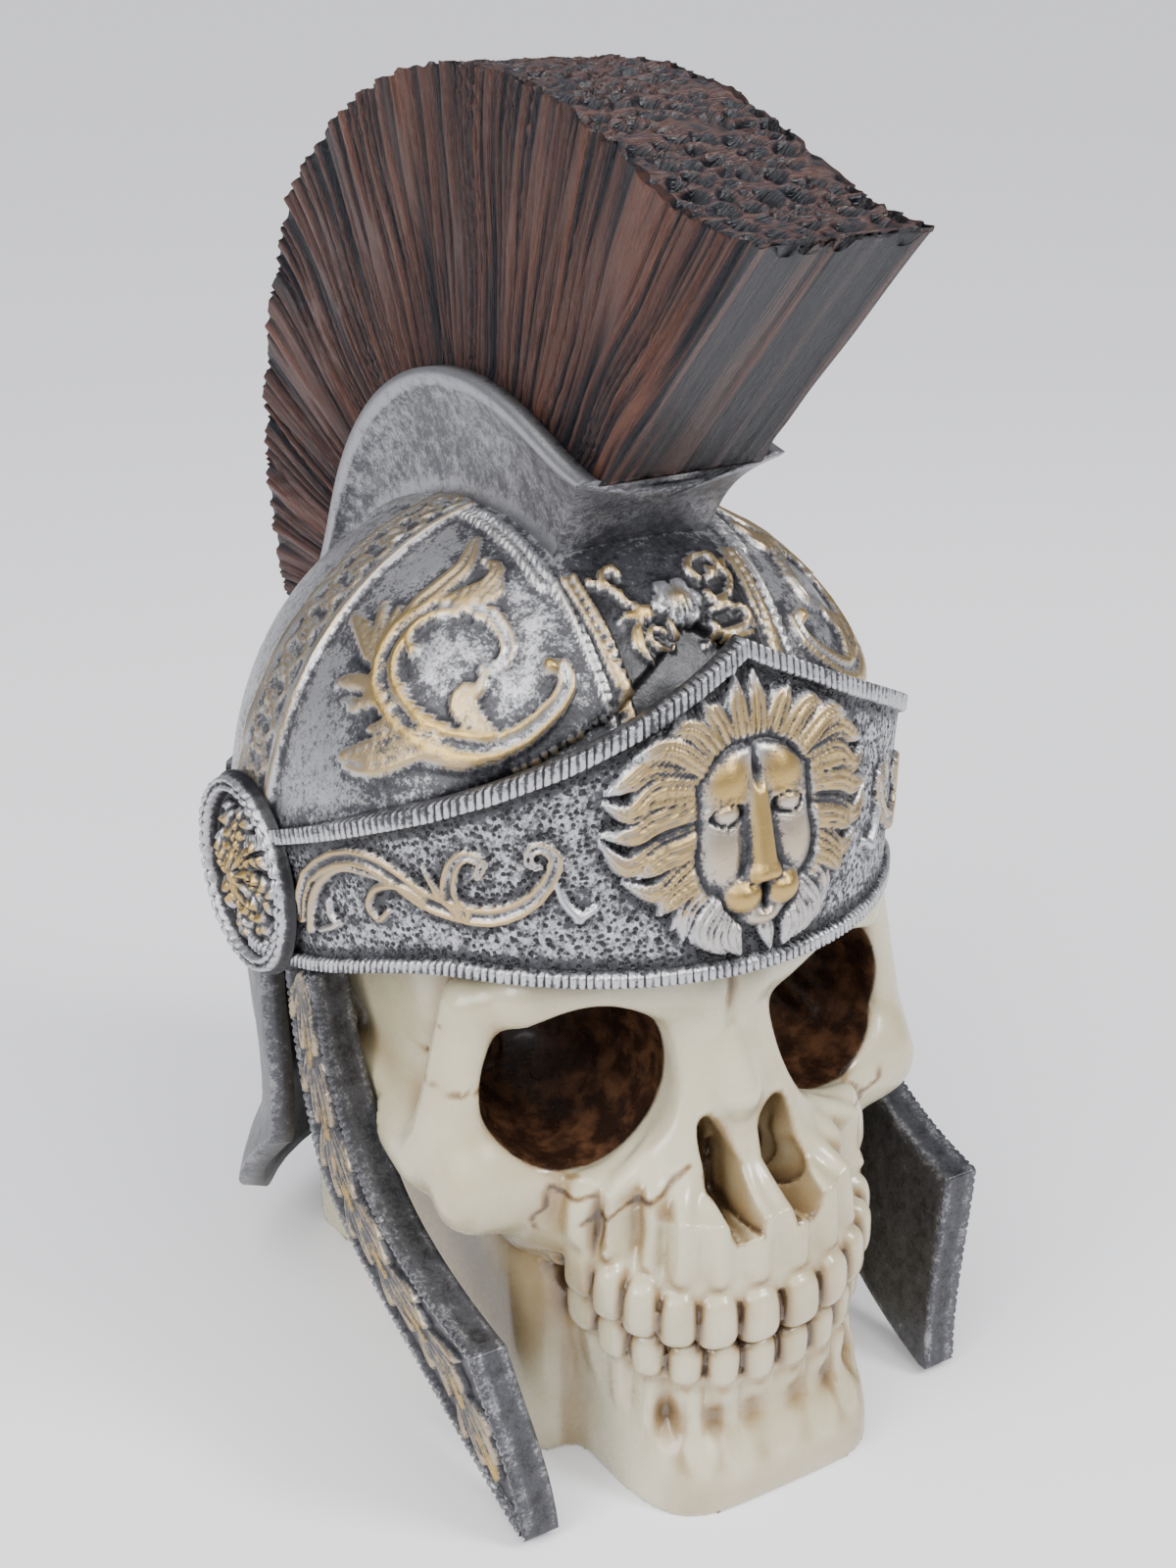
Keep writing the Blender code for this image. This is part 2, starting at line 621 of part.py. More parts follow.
def make_lion(collection):
    """The lion's head on the brow band, with its mane as a ring of locks."""
    made = []
    front = band_point(0.0, (LION_Z - BAND_LOW_FRONT_Z) / (BAND_PEAK_Z - BAND_LOW_FRONT_Z))
    y = front[1]
    for lock in range(MANE_LOCKS):
        a = math.tau * (lock + 0.5) / MANE_LOCKS
        x, z = math.sin(a), math.cos(a)
        centre = np.array([x * LION_RADIUS, y + 0.10 * abs(x) * LION_RADIUS, LION_Z + z * LION_RADIUS * 1.12])
        angle = math.asin(centre[0] / BAND_HALF_WIDTH)
        share = (centre[2] - BAND_LOW_FRONT_Z) / (BAND_PEAK_Z - BAND_LOW_FRONT_Z)
        centre = band_point(angle, share)
        curl = a + 0.35
        out = np.array([math.sin(curl), 0.0, math.cos(curl)])
        out[1] = 0.25 * abs(x)
        out /= np.linalg.norm(out)
        axes = (out, np.cross((0.0, -1.0, 0.0), out), (0.0, -1.0, 0.0))
        made.append(pebble(f"mane_lock_{lock}", collection, centre, (8.2, 3.2, 2.6), axes, 8, 4))
    forms = (
        ("lion_face", (0.0, 1.0, -1.0), (10.5, 5.0, 15.0)),
        ("lion_brow", (0.0, -2.2, 6.0), (8.6, 3.4, 3.6)),
        ("lion_bridge", (0.0, -3.6, -1.5), (2.8, 3.2, 8.0)),
        ("lion_muzzle", (0.0, -3.4, -10.5), (6.4, 4.6, 4.8)),
        ("lion_chin", (0.0, -1.0, -16.2), (5.2, 4.4, 4.4)),
    )
    for name, place, radii in forms:
        made.append(pebble(name, collection, (place[0], y + place[1], LION_Z + place[2]), radii))
    return made


def make_scrolls(collection):
    """S-scrolls on the band beside the lion, and the large C-scroll on each front quarter of the dome."""
    made = []
    for side, label in ((-1.0, "right"), (1.0, "left")):
        t = np.linspace(0.0, 1.0, 16)
        wave = 0.40 + 0.16 * np.sin(t * math.tau * 1.25 + 0.6)
        angle = side * np.radians(30.0 + 52.0 * t)
        points = band_point(angle, wave, 0.3)
        made.append(tube("band_scroll_" + label, collection, points, SCROLL_RADIUS * (0.7 + 0.6 * np.sin(math.pi * t))))
        turn = np.radians(np.linspace(-70.0, 265.0, 14))
        size = np.linspace(1.0, 0.62, 14)
        azimuth = 55.0 + 21.0 * size * np.cos(turn)
        elevation = 49.0 + 15.0 * size * np.sin(turn) * -1.0
        points = [dome_from(dome_direction(side * a, e), 0.4) for a, e in zip(azimuth, elevation)]
        made.append(tube("dome_scroll_" + label, collection, points, SCROLL_RADIUS * (1.25 - 0.6 * np.linspace(0.0, 1.0, 14))))
    return made


def make_flower(collection):
    """The six-petalled flower on the dome's front panel."""
    made = []
    centre = dome_at(0.0, -45.4)
    up = centre - np.asarray(DOME_CENTRE)
    up /= np.linalg.norm(up)
    across = np.array([1.0, 0.0, 0.0])
    along = np.cross(up, across)
    for petal in range(6):
        a = math.tau * petal / 6
        out = across * math.cos(a) + along * math.sin(a)
        axes = (out, np.cross(up, out), up)
        made.append(pebble(f"flower_petal_{petal}", collection, centre + out * 4.4, (3.4, 2.3, 1.7), axes, 8, 4))
    return made


def ellipsoid(p, centre, radii):
    """Roughly the distance from points to an ellipsoid."""
    q = p - np.asarray(centre)
    radii = np.asarray(radii)
    near = np.sqrt(((q / radii) ** 2).sum(-1))
    slope = np.sqrt(((q / radii**2) ** 2).sum(-1)) + 1e-9
    return near * (near - 1.0) / slope


def capsule(p, start, finish, first, last):
    """The distance to a round bar that tapers from its first radius to its last."""
    start, finish = np.asarray(start, float), np.asarray(finish, float)
    along = finish - start
    t = np.clip(((p - start) @ along) / (along @ along), 0.0, 1.0)
    return np.sqrt(((p - start - t[..., None] * along) ** 2).sum(-1)) - (first + (last - first) * t)


def merge(a, b, radius):
    """The union of two fields with a fillet."""
    h = np.clip(0.5 + 0.5 * (b - a) / radius, 0.0, 1.0)
    return b + (a - b) * h - radius * h * (1.0 - h)


def carve(a, b, radius):
    """One field with another taken out of it, with a fillet."""
    return -merge(-a, b, radius)


def plan_oval(x, y, half, front, back, power):
    """The distance outside a squarish oval in plan ahead of back, and straight sides behind it."""
    v = np.maximum(back - y, 0.0) / (back - front)
    return ((np.abs(x) / half) ** power + v**power + 1e-12) ** (1.0 / power) * half - half


def tilted(p, centre, degrees):
    """Points turned about a front-to-back axis through a centre."""
    a = math.radians(degrees)
    q = p - np.asarray(centre)
    x, z = q[..., 0].copy(), q[..., 2].copy()
    q[..., 0] = x * math.cos(a) + z * math.sin(a)
    q[..., 2] = z * math.cos(a) - x * math.sin(a)
    return q + np.asarray(centre)


def skull_room(p, d):
    """Keeps a field clear of the helmet: inside its cavity, or below its edge in front of the ears."""
    sizes = np.array([DOME_HALF_WIDTH, DOME_FRONT, DOME_RISE]) - WALL - SKULL_CLEARANCE
    y = p[..., 1] - DOME_CENTRE[1]
    depth = np.where(y < 0.0, sizes[1], DOME_BACK - WALL - SKULL_CLEARANCE)
    z = np.maximum(p[..., 2] - DOME_CENTRE[2], 0.0)
    n = DOME_FULLNESS
    level = (np.abs(p[..., 0] / sizes[0]) ** n + np.abs(y / depth) ** n + (z / sizes[2]) ** n + 1e-12) ** (1 / n)
    inside = (level - 1.0) * sizes[0]
    angle = np.arctan2(p[..., 0] / BAND_HALF_WIDTH, -p[..., 1] / BAND_DEPTH)
    open_face = (np.abs(np.degrees(angle)) < 90.0) & (p[..., 2] < band_low_z(angle) - 2.0 * FIT_GAP)
    neck = np.maximum(inside + 3.5 * (p[..., 2] < BAND_LOW_SIDE_Z), d)
    _, front = guard_edges(np.linspace(0.0, 1.0, 40))
    guard_front = np.interp(p[..., 2], front[::-1, 1], front[::-1, 0])
    beside = (p[..., 1] > guard_front - 2.0) & (p[..., 2] < GUARD_TOP_Z + 1.0)
    inner_face = GUARD_TOP_X - GUARD_THICKNESS - SKULL_CLEARANCE
    walled = np.maximum(d, p[..., 0] - inner_face)
    return np.where(open_face, np.where(beside, walled, d), np.where(beside, np.maximum(neck, walled), neck))


def skull_field(points):
    """Negative inside the skull. The face is built from bars, ellipsoids and ovals, joined with fillets,
    with the sockets, nose and cheek hollows taken out."""
    p = points.copy()
    p[..., 0] = np.abs(p[..., 0])
    x, y, z = p[..., 0], p[..., 1], p[..., 2]
    sizes = np.array([DOME_HALF_WIDTH, DOME_BACK, DOME_RISE]) - WALL - SKULL_CLEARANCE
    d = ellipsoid(p, (0.0, 2.0, 113.0), (58.0, 63.0, 62.0))
    crown = ellipsoid(p, DOME_CENTRE, sizes + 4.0)
    d = np.minimum(d, np.maximum(crown, 122.0 - z))
    d = merge(d, capsule(p, (7.0, -57.5, 104.0), (38.0, -51.0, 105.0), 8.5, 7.0), 8.0)
    d = merge(d, capsule(p, (46.0, -45.0, 102.0), (51.0, -44.0, 74.0), 6.0, 7.5), 6.0)
    d = merge(d, capsule(p, (40.0, -49.0, 64.0), (51.0, -42.0, 69.0), 8.5, 9.0), 5.0)
    d = merge(d, capsule(p, (50.0, -38.0, 68.0), (53.0, -12.0, 76.0), 7.0, 5.0), 5.0)
    front = -56.0 - 18.0 * np.exp(-x / 15.0) - (66.0 - z) * 0.10
    plate = np.maximum(np.maximum(front - y, x - 33.0 + 0.25 * (60.0 - z)), np.maximum(44.0 - z, z - 92.0))
    d = merge(d, plate * 0.8, 6.0)
    d = merge(d, capsule(p, (16.0, -50.0, 70.0), (38.0, -48.0, 63.0), 7.0, 7.5), 6.0)
    d = merge(d, capsule(p, (0.0, -56.0, 98.0), (0.0, -67.0, 80.0), 5.5, 7.0), 4.0)
    d = merge(d, capsule(p, (6.0, -59.0, 94.0), (13.5, -66.0, 63.0), 5.0, 5.5), 5.0)
    row = (y + 85.0) * TEETH_TILT
    gum = np.maximum(plan_oval(x, y, 31.5, -81.5, -52.0, 2.4), np.abs(z - (52.0 + row * 0.8)) - 8.5)
    d = merge(d, gum, 6.0)
    half = 28.5 + smooth_step(20.0, 34.0, z) * 2.0
    chin = -88.0 + smooth_step(4.0, 20.0, z) * 4.6 + smooth_step(20.0, 30.0, z)
    jaw = plan_oval(x - 0.10 * np.maximum(y + 48.0, 0.0), y, half, chin, -50.0, 4.6 - smooth_step(8.0, 30.0, z) * 2.0)
    jaw = np.maximum(jaw, z - 27.0 - np.maximum(row, 0.0) * 0.9)
    limit = np.maximum(np.abs(y + 27.0) - 24.0, np.abs(z - 30.0) - 36.0)
    ramus = np.maximum(np.abs(x - 33.0 - 0.06 * (y + 48.0)) - 4.0, limit) - 2.5
    d = np.minimum(d, merge(jaw, ramus, 7.0))
    base = np.maximum(ellipsoid(p, (0.0, 12.0, 40.0), (38.0, 42.0, 70.0)), z - 95.0)
    d = merge(d, base, 10.0)
    d = merge(d, capsule(p, (4.6, -61.0, 102.0), (3.2, -60.0, 95.0), 5.0, 3.6), 3.0)
    d = carve(d, ellipsoid(tilted(p, (28.0, -57.0, 86.0), -16.0), (28.5, -50.0, 86.0), (18.5, 36.0, 18.2)), 2.5)
    d = carve(d, ellipsoid(p, (63.0, -24.0, 96.0), (12.0, 18.0, 26.0)), 6.0)
    drop = ellipsoid(tilted(p, (6.5, -75.0, 68.0), -13.0), (6.3, -72.0, 67.5), (5.4, 24.0, 13.0))
    d = carve(d, np.maximum(drop, 0.9 - x), 1.5)
    d = carve(d, ellipsoid(p, (27.0, -68.0, 57.0), (7.0, 7.0, 8.0)), 6.0)
    return skull_room(p, d)


def reach_surface(origin, direction, field, far, steps=90):
    """The outermost place where each ray from origin leaves the field's solid."""
    distance = np.full(len(origin), far)
    for _ in range(steps):
        d = field(origin + direction * distance[:, None])
        distance = np.maximum(distance - np.maximum(d, 0.0) * 0.7, 0.5)
    return origin + direction * distance[:, None]


CROWN_SHARE = 0.22
SIDE_SHARE = 0.93


def skull_surface(turn, fall):
    """The skull's skin: rays from a point inside the crown, then level rays from a bent axis inside the
    face, then the flat underside."""
    angle = np.where(turn > 0.5, turn - 1.0, turn) * math.tau
    angle = angle - 0.42 * np.sin(angle)
    polar = np.clip(fall / CROWN_SHARE, 0.0, 1.0) * math.pi / 2.0
    down = np.clip((fall - CROWN_SHARE) / (SIDE_SHARE - CROWN_SHARE), 0.0, 1.0)
    z = 112.0 * (1.0 - down) + 0.4 * down
    y = 6.0 - 36.0 * smooth_step(100.0, 60.0, z)
    origin = np.stack([0.0 * z, y, z], -1)
    direction = np.stack([np.sin(polar) * np.sin(angle), -np.sin(polar) * np.cos(angle), np.cos(polar)], -1)
    skin = reach_surface(origin, direction, skull_field, 112.0)
    close = np.clip((fall - SIDE_SHARE) / (1.0 - SIDE_SHARE), 0.0, 1.0)[:, None]
    floor = np.stack([0.0 * z, y, 0.0 * z], -1)
    foot = skin.copy()
    foot[:, 2] = 0.0
    return np.where(close > 0.0, foot * (1.0 - close) + floor * close, skin)


def tooth_row(collection, name, teeth, half, front, back, height, z, upward):
    """A row of teeth along an oval arch: each is a tapered, rounded block set square to the arch."""
    made = []
    t = np.linspace(0.0, math.pi / 2.0, 400)
    xs = half * np.sin(t) ** (2.0 / 2.3)
    ys = back - (back - front) * np.cos(t) ** (2.0 / 2.3)
    xs, ys = np.append(xs, half + 2.0), np.append(ys, back + 20.0)
    run = np.concatenate([[0.0], np.cumsum(np.hypot(np.diff(xs), np.diff(ys)))])
    for number, (place, width) in enumerate(teeth):
        x, y = np.interp(place, run, xs), np.interp(place, run, ys)
        ahead = np.array([np.interp(place + 1.0, run, xs) - x, np.interp(place + 1.0, run, ys) - y, 0.0])
        ahead /= np.linalg.norm(ahead)
        out = np.cross(ahead, (0.0, 0.0, 1.0))
        middle = np.array([x, y, z + (y - front) * TEETH_TILT]) - out * 1.4
        for side, label in ((-1.0, "right"), (1.0, "left")):
            sections = []
            for share, wide, deep in ((-0.5, 0.78, 2.4), (-0.36, 0.95, 3.4), (0.1, 0.92, 4.0), (0.5, 0.72, 3.6)):
                level = middle + np.array([0.0, 0.0, share * height * upward])
                ring = []
                for a, b in ((-1, -1), (1, -1), (1, 0.55), (0.55, 1), (-0.55, 1), (-1, 0.55)):
                    ring.append(level + ahead * a * width * wide / 2.0 + out * b * deep)
                sections.append([(side * q[0], q[1], q[2]) for q in ring])
            made.append(loft(f"{name}_{label}_{number}", collection, sections))
    return made


def unite(target, name, pieces, parent):
    """Joins a group of pieces to target with one exact union."""
    group = make_collection(name, parent)
    for piece in pieces:
        for holder in list(piece.users_collection):
            holder.objects.unlink(piece)
        group.objects.link(piece)
        piece.hide_render = True
        piece.display_type = "WIRE"
    modifier = target.modifiers.new(name, "BOOLEAN")
    modifier.operation = "UNION"
    modifier.solver = "EXACT"
    modifier.operand_type = "COLLECTION"
    modifier.collection = group


def main():
    clear_scene()
    scene = bpy.context.scene.collection
    parts = make_collection("helmeted_skull_figurine", scene)
    forms = make_collection("joined_forms", scene)
    forms.hide_render = True
    silver = make_material("antique_silver", SILVER)

    helmet = wrapped_sphere("helmet", parts, HELMET_SEGMENTS, HELMET_RINGS, helmet_surface)
    helmet.data.materials.append(silver)
    bosses = make_boss(forms, -1.0, "right") + make_boss(forms, 1.0, "left")
    relief = [make_holder(forms)] + make_straps(forms) + bosses
    relief += make_lion(forms) + make_scrolls(forms) + make_flower(forms)
    unite(helmet, "helmet_relief", relief, forms)

    skull = wrapped_sphere("skull", parts, SKULL_SEGMENTS, SKULL_RINGS, skull_surface)
    skull.data.materials.append(make_material("bone", BONE))
    teeth = tooth_row(forms, "upper_tooth", UPPER_TEETH, 34.3, -84.5, -55.0, 11.5, TEETH_UPPER_Z, 1.0)
    teeth += tooth_row(forms, "lower_tooth", LOWER_TEETH, 31.5, -83.0, -54.0, 9.5, TEETH_LOWER_Z, -1.0)
    unite(skull, "teeth", teeth, forms)

    crest = make_crest(parts)
    crest.data.materials.append(make_material("bristle", BRISTLE))
    guard_silver = make_material("dark_silver", GUARD_SILVER)
    for name, side in (("cheek_guard_right", -1.0), ("cheek_guard_left", 1.0)):
        guard = make_guard(name, parts, side)
        guard.data.materials.append(guard_silver)


main()
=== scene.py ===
"""Dresses the helmeted skull figurine: the bone, the silvered and gilt helmet relief and the bristle crest.

Every form is worked out in millimetres about the helmet's upright axis, with the face looking along -Y,
and is then placed in the row frame in metres. Each visible piece is one closed surface built from rings
of points, and the relief on it is a height added along the surface's normal.
"""

from __future__ import annotations

import itertools
import logging
import math
from dataclasses import dataclass, field
from enum import Enum
from typing import Callable, Sequence

import bpy
import numpy as np
from numpy.typing import NDArray
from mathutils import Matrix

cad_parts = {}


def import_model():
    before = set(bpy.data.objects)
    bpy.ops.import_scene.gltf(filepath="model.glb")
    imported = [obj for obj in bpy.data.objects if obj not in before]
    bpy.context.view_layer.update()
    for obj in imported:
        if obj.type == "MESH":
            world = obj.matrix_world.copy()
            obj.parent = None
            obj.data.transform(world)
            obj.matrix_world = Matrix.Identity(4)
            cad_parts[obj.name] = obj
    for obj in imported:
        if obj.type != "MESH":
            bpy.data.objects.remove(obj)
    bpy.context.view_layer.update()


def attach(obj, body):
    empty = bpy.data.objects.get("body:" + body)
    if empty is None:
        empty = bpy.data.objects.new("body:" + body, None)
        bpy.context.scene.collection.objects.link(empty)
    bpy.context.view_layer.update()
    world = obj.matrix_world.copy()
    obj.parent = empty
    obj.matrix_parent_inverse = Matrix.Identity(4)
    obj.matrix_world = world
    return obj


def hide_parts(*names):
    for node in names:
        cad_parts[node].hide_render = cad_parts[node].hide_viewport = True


LOG = logging.getLogger("figurine")
Array = NDArray[np.float64]
Path = Sequence[tuple[float, float]]

MM = 0.001
HELMET_Y = -3.4

DOME_CENTRE = np.array([0.0, -4.0, 112.0])
DOME_HALF_WIDTH = 66.5
DOME_FRONT = 64.0
DOME_BACK = 76.0
DOME_RISE = 75.0
DOME_FULLNESS = 2.2
WALL = 5.0

BAND_HALF_WIDTH = 65.0
BAND_DEPTH = 75.0
BAND_LOW_FRONT_Z = 111.0
BAND_LOW_SIDE_Z = 99.0
BAND_PEAK_Z = 172.1
BAND_FALL_PER_DEGREE = 0.505
BAND_BACK_Z = 122.0
RIM_TOP_HEIGHT = 3.8
RIM_LOW_HEIGHT = 2.8
RIM_PROUD = 1.5
NOTCH_DEPTH = 0.8
NOTCH_SPACING = 1.5
LION_Z = 139.0
LION_SIDEWAYS = 1.5
BAND_MM_PER_DEGREE = 1.13

FAN_CENTRE_Z = 150.0
FAN_FRONT = -43.5
FAN_BACK = 95.0
HOLDER_HALF = 17.6
LIP_HALF = 22.3
SLOT_HALF = 18.95
CREST_HALF = 18.0

BOSS_Y = 8.0
BOSS_Z = 114.0
BOSS_RADIUS = 21.0
BOSS_IN = 64.2
BOSS_FACE = 66.1
BOSS_OUT = 71.4

GUARD_OUT = 63.5
GUARD_THICKNESS = 8.0
GUARD_LEAN = 9.5
GUARD_TOP_Z = 98.7

TEETH_FRONT = -85.0
BITE_Z = 34.2
ROW_TILT = 0.38
SKULL_INSET = 6.4
JAW_PITS = (4.4, 12.4, 20.8)

CAMERA_AZIMUTH = -32.035
CAMERA_ELEVATION = 21.999
CAMERA_AT = (-218.183, -361.830, 292.206)
CAMERA_LENS = 49.5


# Numbers and noise


def smooth_step(low: float, high: float, value: Array) -> Array:
    """Rises smoothly from 0 at low to 1 at high.

    Args:
        low: Where the rise starts; it may be the larger of the two, for a fall.
        high: Where the rise ends.
        value: The values to map.

    Returns:
        The share from 0 to 1.
    """
    t = np.clip((value - low) / (high - low), 0.0, 1.0)
    return t * t * (3.0 - 2.0 * t)


def bell(value: Array, width: Array | float) -> Array:
    """A bell curve: 1 where the value is 0, falling to 0 a few widths away."""
    return np.exp(-((value / width) ** 2))


def lattice(cells: Array, seed: float) -> Array:
    """A fixed pseudo-random value from 0 to 1 for each whole-numbered cell."""
    mixed = np.sin(cells @ np.array([127.1, 311.7, 74.7]) + seed * 17.31) * 43758.5453
    return mixed - np.floor(mixed)


def value_noise(points: Array, seed: float = 0.0) -> Array:
    """Smooth noise from 0 to 1: lattice values blended over each unit cell."""
    cell = np.floor(points)
    share = points - cell
    share = share * share * (3.0 - 2.0 * share)
    total = np.zeros(points.shape[:-1])
    for corner in itertools.product((0.0, 1.0), repeat=3):
        weight = np.prod(np.where(corner, share, 1.0 - share), axis=-1)
        total += weight * lattice(cell + corner, seed)
    return total


def cell_noise(points: Array, seed: float = 0.0) -> tuple[Array, Array]:
    """Distances from each point to the nearest and second nearest scattered centre, one centre a cell."""
    cell = np.floor(points)
    first = np.full(points.shape[:-1], 9.0)
    second = first.copy()
    for step in itertools.product((-1.0, 0.0, 1.0), repeat=3):
        near = cell + step
        centre = near + np.stack([lattice(near, seed + k) for k in range(3)], -1)
        away = np.linalg.norm(points - centre, axis=-1)
        second = np.minimum(second, np.maximum(first, away))
        first = np.minimum(first, away)
    return first, second


def blurred(values: Array, reach: int, wrap: bool = True) -> Array:
    """A box average over reach samples each way, along the columns (wrapping) and then the rows.

    Args:
        values: A grid of values.
        reach: How many samples to take in on each side.
        wrap: Whether the columns run round a closed ring.

    Returns:
        The averaged grid.
    """
    for axis in (1, 0):
        pad = [(0, 0), (0, 0)]
        pad[axis] = (reach + 1, reach)
        mode = "wrap" if axis == 1 and wrap else "edge"
        total = np.cumsum(np.pad(values, pad, mode=mode), axis=axis)
        size = values.shape[axis]
        high = np.take(total, range(2 * reach + 1, 2 * reach + 1 + size), axis=axis)
        low = np.take(total, range(size), axis=axis)
        values = (high - low) / (2 * reach + 1)
    return values


def smooth_path(path: Path, count: int = 28) -> Array:
    """A Catmull-Rom curve through a path's points, at evenly spaced places."""
    p = np.asarray(path, float)
    p = np.vstack([2.0 * p[0] - p[1], p, 2.0 * p[-1] - p[-2]])
    run = np.linspace(0.0, len(p) - 3.0, count)
    i = np.minimum(run.astype(int), len(p) - 4)
    t = (run - i)[:, None]
    a, b, c, d = p[i], p[i + 1], p[i + 2], p[i + 3]
    cubic = (3.0 * b - a - 3.0 * c + d) * t**3
    return (2.0 * b + (c - a) * t + (2.0 * a - 5.0 * b + 4.0 * c - d) * t**2 + cubic) / 2.0


def surface_normals(rings: Array) -> Array:
    """Unit normals of a grid of points whose columns wrap round, from central differences."""
    across = np.roll(rings, -1, axis=1) - np.roll(rings, 1, axis=1)
    down = np.gradient(rings, axis=0)
    normal = np.cross(down, across)
    return normal / (np.linalg.norm(normal, axis=-1, keepdims=True) + 1e-12)


# The helmet's guiding surfaces


def dome_from(direction: Array, out: Array | float = 0.0) -> Array:
    """The dome, a superellipsoid: along a direction from its centre, the place where the sum of the three
    shares to the power of the fullness is 1, moved out by a height."""
    depth = np.where(direction[..., 1] < 0.0, DOME_FRONT, DOME_BACK)
    half = np.stack([np.full_like(depth, DOME_HALF_WIDTH), depth, np.full_like(depth, DOME_RISE)], -1)
    reach = (np.abs(direction / half) ** DOME_FULLNESS).sum(-1) ** (-1.0 / DOME_FULLNESS)
    point = direction * reach[..., None]
    length = np.linalg.norm(point, axis=-1, keepdims=True)
    return DOME_CENTRE + point * (1.0 + np.asarray(out)[..., None] / length)


def dome_angles(azimuth: Array, elevation: Array) -> Array:
    """The dome's surface by azimuth from the front and elevation, in degrees."""
    a, e = np.radians(azimuth), np.radians(elevation)
    return dome_from(np.stack([np.sin(a) * np.cos(e), -np.cos(a) * np.cos(e), np.sin(e)], -1))


def dome_above(x: Array, y: Array) -> Array:
    """The dome's surface straight above a place in plan."""
    x, y = np.broadcast_arrays(np.asarray(x, float), np.asarray(y, float) - DOME_CENTRE[1])
    depth = np.where(y < 0.0, DOME_FRONT, DOME_BACK)
    left = 1.0 - np.abs(x / DOME_HALF_WIDTH) ** DOME_FULLNESS - np.abs(y / depth) ** DOME_FULLNESS
    rise = DOME_RISE * np.clip(left, 0.0, 1.0) ** (1.0 / DOME_FULLNESS)
    return DOME_CENTRE + np.stack([x, y, rise], -1)


def dome_ring(angle: Array, z: Array, inset: Array | float = 0.0) -> Array:
    """The dome's outline at a height, inset along its radii; below its centre the wall is upright.

    Args:
        angle: Bearings from the front, in radians.
        z: The height.
        inset: How far inside the dome the outline lies.

    Returns:
        Points in millimetres.
    """
    n = DOME_FULLNESS
    rise = np.clip((z - DOME_CENTRE[2]) / (DOME_RISE - inset), 0.0, 1.0)
    scale = np.maximum(1.0 - rise**n, 0.0) ** (1.0 / n)
    depth = np.where(np.cos(angle) > 0.0, DOME_FRONT, DOME_BACK) - inset
    ring = (np.abs(np.sin(angle)) ** n + np.abs(np.cos(angle)) ** n) ** (-1.0 / n) * scale
    x = (DOME_HALF_WIDTH - inset) * np.sin(angle) * ring
    y = -depth * np.cos(angle) * ring + DOME_CENTRE[1]
    return np.stack([x, y, z + 0.0 * angle], -1)


def band_top_z(angle: Array) -> Array:
    """Height of the brow band's top edge, a straight fall to each side of the peak."""
    return np.maximum(BAND_PEAK_Z - BAND_FALL_PER_DEGREE * np.abs(np.degrees(angle)), BAND_BACK_Z)


def band_low_z(angle: Array) -> Array:
    """Height of the band's lower edge, arched over the brow."""
    drop = (BAND_LOW_FRONT_Z - BAND_LOW_SIDE_Z) * smooth_step(48.0, 92.0, np.abs(np.degrees(angle)))
    return BAND_LOW_FRONT_Z - drop


def band_point(angle: Array, share: Array, out: Array | float = 0.0) -> Array:
    """The band's outer face, which follows the dome's wall as a low fillet behind the ears.

    Args:
        angle: Bearings from the front, in radians.
        share: 0 at the band's lower edge and 1 at its top edge.
        out: How far in front of the face the points lie.

    Returns:
        Points in millimetres.
    """
    low, top = band_low_z(angle), band_top_z(angle)
    degrees = np.abs(np.degrees(angle))
    top_scale = 0.867 + 0.168 * np.sin(np.radians(90.0) * np.clip(degrees / 62.0, 0.0, 1.0))
    scale = 1.0 + (top_scale - 1.0) * share**1.3
    z = low + (top - low) * share
    x = (BAND_HALF_WIDTH * scale + out) * np.sin(angle)
    y = -(BAND_DEPTH * scale + out) * np.cos(angle)
    front = np.stack([x, y, z], -1)
    back = dome_ring(angle, z, -1.0 - out)
    mix = smooth_step(84.0, 96.0, degrees)[..., None]
    return front * (1.0 - mix) + back * mix


def fan_point(degrees: Array, radius: Array, x: Array) -> Array:
    """A point of the fan that the crest and its holder share: degrees behind the vertical.

    Args:
        degrees: Degrees behind the vertical.
        radius: Distance from the fan's centre.
        x: Place across the fan.

    Returns:
        Points in millimetres.
    """
    a = np.radians(degrees)
    parts = (x, radius * np.sin(a), FAN_CENTRE_Z + radius * np.cos(a))
    return np.stack(np.broadcast_arrays(*parts), -1)


def dome_radius(degrees: Array) -> Array:
    """How far the dome's ridge lies from the fan's centre, by halving."""
    a = np.radians(degrees)
    low, high = np.zeros_like(a), np.full_like(a, 160.0)
    for _ in range(30):
        middle = (low + high) / 2.0
        y = middle * np.sin(a) - DOME_CENTRE[1]
        z = FAN_CENTRE_Z + middle * np.cos(a) - DOME_CENTRE[2]
        depth = np.where(y < 0.0, DOME_FRONT, DOME_BACK)
        inside = np.abs(y / depth) ** DOME_FULLNESS + np.abs(z / DOME_RISE) ** DOME_FULLNESS < 1.0
        low, high = np.where(inside, middle, low), np.where(inside, high, middle)
    return low


def lip_radius(degrees: Array) -> Array:
    """The holder's lip: an arc, flared up at the front and kept clear of the dome behind."""
    flared = 61.0 + 7.0 * np.exp(-(degrees - FAN_FRONT) / 9.0)
    clear = dome_radius(degrees) + 4.5
    return (flared + clear + np.hypot(flared - clear, 4.0)) / 2.0


def crest_radius(degrees: Array) -> Array:
    """The crest's outline: an arc with a raised front corner, falling away down the back."""
    corner = 14.0 * np.exp(-(degrees - FAN_FRONT) / 7.0)
    return 117.5 + corner - 24.5 * np.maximum(degrees - 42.0, 0.0) / (FAN_BACK - 42.0)


# Relief and closed skins


